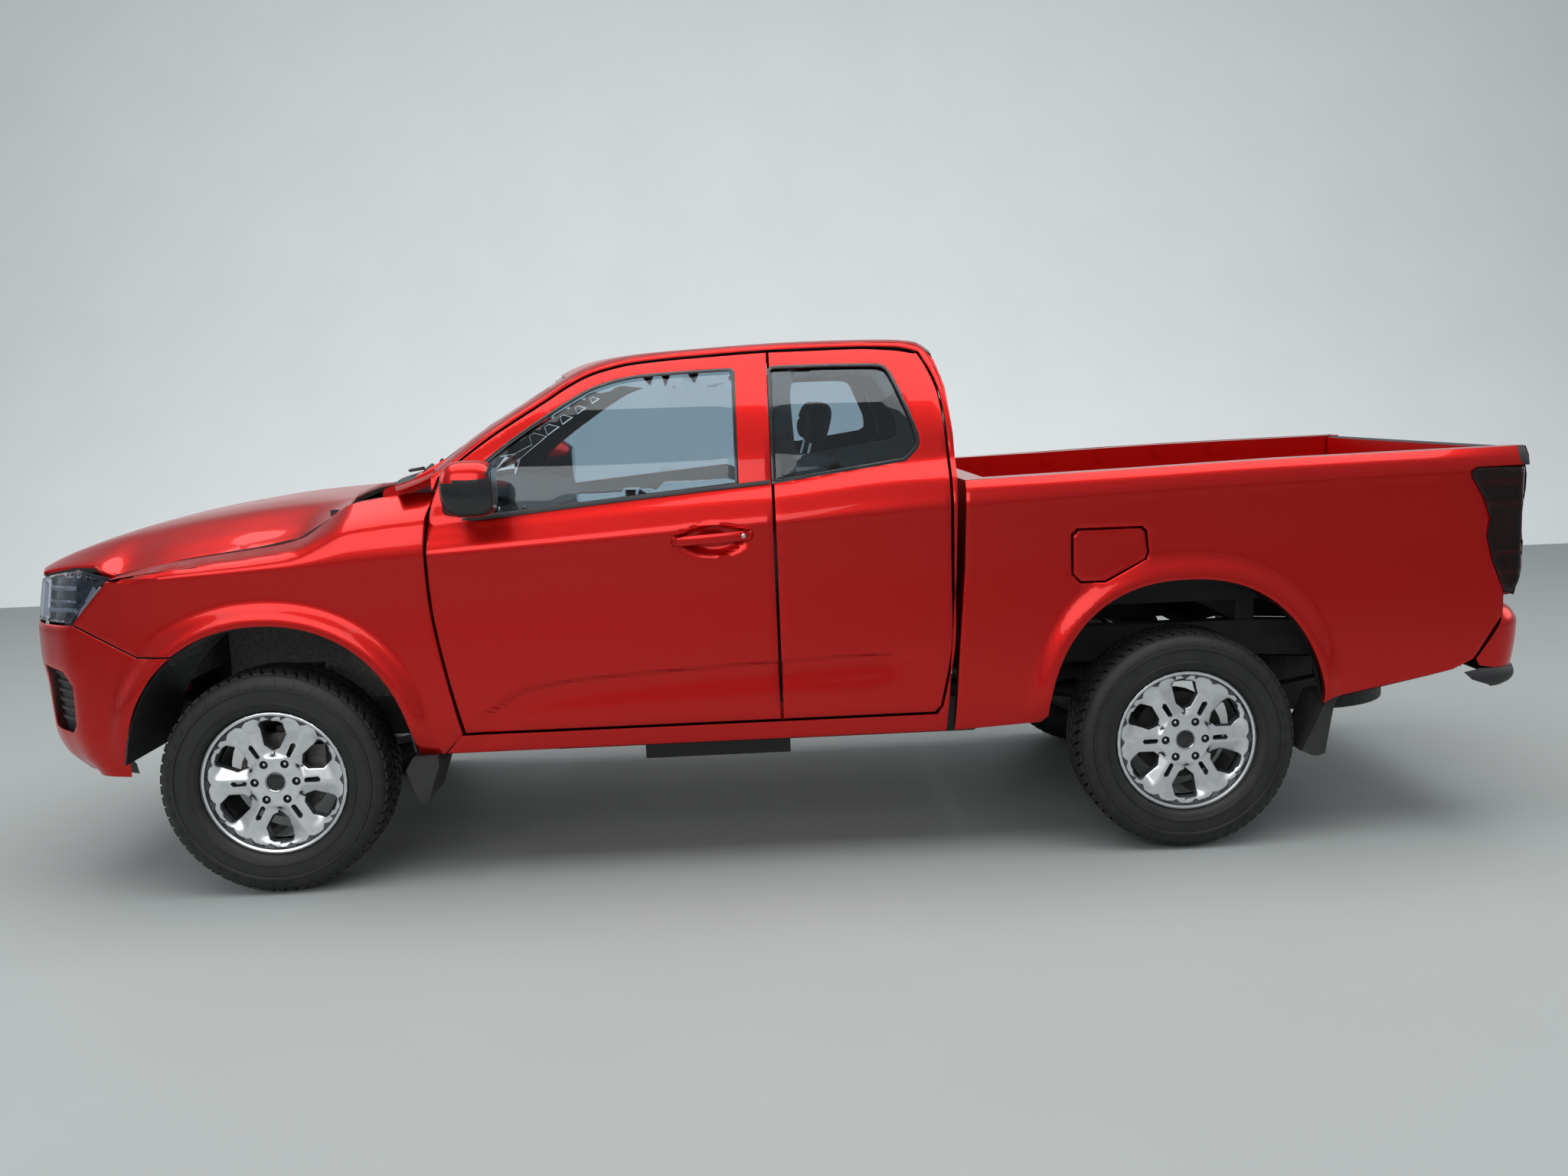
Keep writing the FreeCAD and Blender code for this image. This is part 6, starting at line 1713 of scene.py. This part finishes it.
def wiper_pieces():
    """Two parked wipers on the scuttle, just off the glass."""
    sheets = []
    thin = ellipse(0.007, 0.006, 8)
    t0 = front_t(1.372)
    t1 = front_t(1.398)
    for y0, y1 in ((-0.10, -0.62), (0.50, -0.02)):
        arm = [cab_place(t0, y0, -0.012), cab_place(t0, (y0 + y1) / 2, -0.018), cab_place(t1, y1, -0.014)]
        blade = [cab_place(front_t(1.402), y1 + 0.30, -0.004), cab_place(front_t(1.402), y1, -0.004),
                 cab_place(front_t(1.400), y1 - 0.04, -0.004)]
        sheets.append(coloured(sweep(smooth_path(arm, 6), thin), 0))
        sheets.append(coloured(sweep(smooth_path(blade, 4), thin), 0))
    piece("wipers", sheets, ["black_plastic"], "chassis")


wiper_pieces()


# Floor, backdrop, light and camera

FLOOR_COLOUR = (0.33, 0.355, 0.35)
BACKDROP_COLOUR = (0.90, 0.93, 0.935)
STAGE_HALF = 40.0
STAGE_FRONT = -30.0
BACKDROP_Y = 10.0
BACKDROP_TOP = 14.0
BEND = 2.5
BEND_STEPS = 8
PANELS = (("sky_panel", (0, -1.0, 7.5), (0, 0, 0), (11.0, 8.0), 800.0),
          ("front_panel", (-3.5, -10.0, 5.0), (0, 0, 0.9), (8.0, 4.0), 270.0),
          ("nose_panel", (-9.5, 1.0, 4.0), (-1.5, 0, 0.9), (5.0, 4.0), 120.0),
          ("tail_panel", (9.5, 0.0, 4.5), (1.5, 0, 0.9), (5.0, 4.0), 120.0))
WORLD_COLOUR = (0.86, 0.9, 0.94, 1)
WORLD_STRENGTH = 0.42
PICTURE_WIDTH = 2048.0
FOCAL_PIXELS = 1863.0
CENTRE_SHIFT = (-58.0, -6.0)
EYE = (-0.043, -5.670, 1.601)
YAW, PITCH, ROLL = (math.radians(a) for a in (2.48, -7.31, -2.07))


def stage_material(name, colour, rough):
    mat, tree, bsdf = new_material(name)
    grain = noise(tree, 1.3, 5.0)
    tree.links.new(ramp(tree, grain, [(0.25, tuple(c * 0.96 for c in colour)), (0.8, colour)]),
                   bsdf.inputs["Base Color"])
    bsdf.inputs["Roughness"].default_value = rough
    return mat


def make_stage():
    """Floor that runs up into a backdrop behind the truck."""
    foot = BACKDROP_Y - BEND
    profile = [(STAGE_FRONT, 0.0), (foot, 0.0)]
    for k in range(1, BEND_STEPS + 1):
        a = math.radians(90.0 * k / BEND_STEPS)
        profile.append((foot + BEND * math.sin(a), BEND - BEND * math.cos(a)))
    profile.append((BACKDROP_Y, BACKDROP_TOP))
    mesh = bpy.data.meshes.new("studio_floor")
    n = len(profile)
    mesh.from_pydata([(x, y, z) for x in (-STAGE_HALF, STAGE_HALF) for y, z in profile], [],
                     [(i, i + 1, n + i + 1, n + i) for i in range(n - 1)])
    floor = bpy.data.objects.new("studio_floor", mesh)
    bpy.context.scene.collection.objects.link(floor)
    mesh.materials.append(stage_material("pale_floor", FLOOR_COLOUR, 0.6))
    mesh.materials.append(stage_material("pale_backdrop", BACKDROP_COLOUR, 0.8))
    mesh.polygons.foreach_set("use_smooth", [True] * len(mesh.polygons))
    mesh.polygons.foreach_set("material_index", [min(i, 1) for i in range(len(mesh.polygons))])


def make_lights():
    for name, place, target, size, power in PANELS:
        data = bpy.data.lights.new(name, "AREA")
        data.shape = "RECTANGLE"
        data.size, data.size_y = size
        data.energy = power
        light = bpy.data.objects.new(name, data)
        light.location = place
        light.rotation_euler = (Vector(target) - Vector(place)).to_track_quat("-Z", "Y").to_euler()
        bpy.context.scene.collection.objects.link(light)
    world = bpy.data.worlds.new("studio")
    bpy.context.scene.world = world
    world.use_nodes = True
    back = world.node_tree.nodes["Background"]
    back.inputs["Color"].default_value = WORLD_COLOUR
    back.inputs["Strength"].default_value = WORLD_STRENGTH


def make_camera():
    """Camera fitted to both wheels and the body in the photograph."""
    look = Vector((math.sin(YAW) * math.cos(PITCH), math.cos(YAW) * math.cos(PITCH), math.sin(PITCH)))
    right = Vector((math.cos(YAW), -math.sin(YAW), 0.0))
    up = right.cross(look)
    side = right * math.cos(ROLL) + up * math.sin(ROLL)
    top = up * math.cos(ROLL) - right * math.sin(ROLL)
    data = bpy.data.cameras.new("camera")
    data.sensor_width = 36.0
    data.lens = data.sensor_width * FOCAL_PIXELS / PICTURE_WIDTH
    data.shift_x, data.shift_y = (shift / PICTURE_WIDTH for shift in CENTRE_SHIFT)
    cam = bpy.data.objects.new("camera", data)
    basis = Matrix((side, top, -look)).transposed()
    cam.matrix_world = Matrix.Translation(EYE) @ basis.to_4x4()
    bpy.context.scene.collection.objects.link(cam)
    bpy.context.scene.camera = cam


make_stage()
make_lights()
make_camera()
bpy.context.scene.view_settings.view_transform = "Standard"
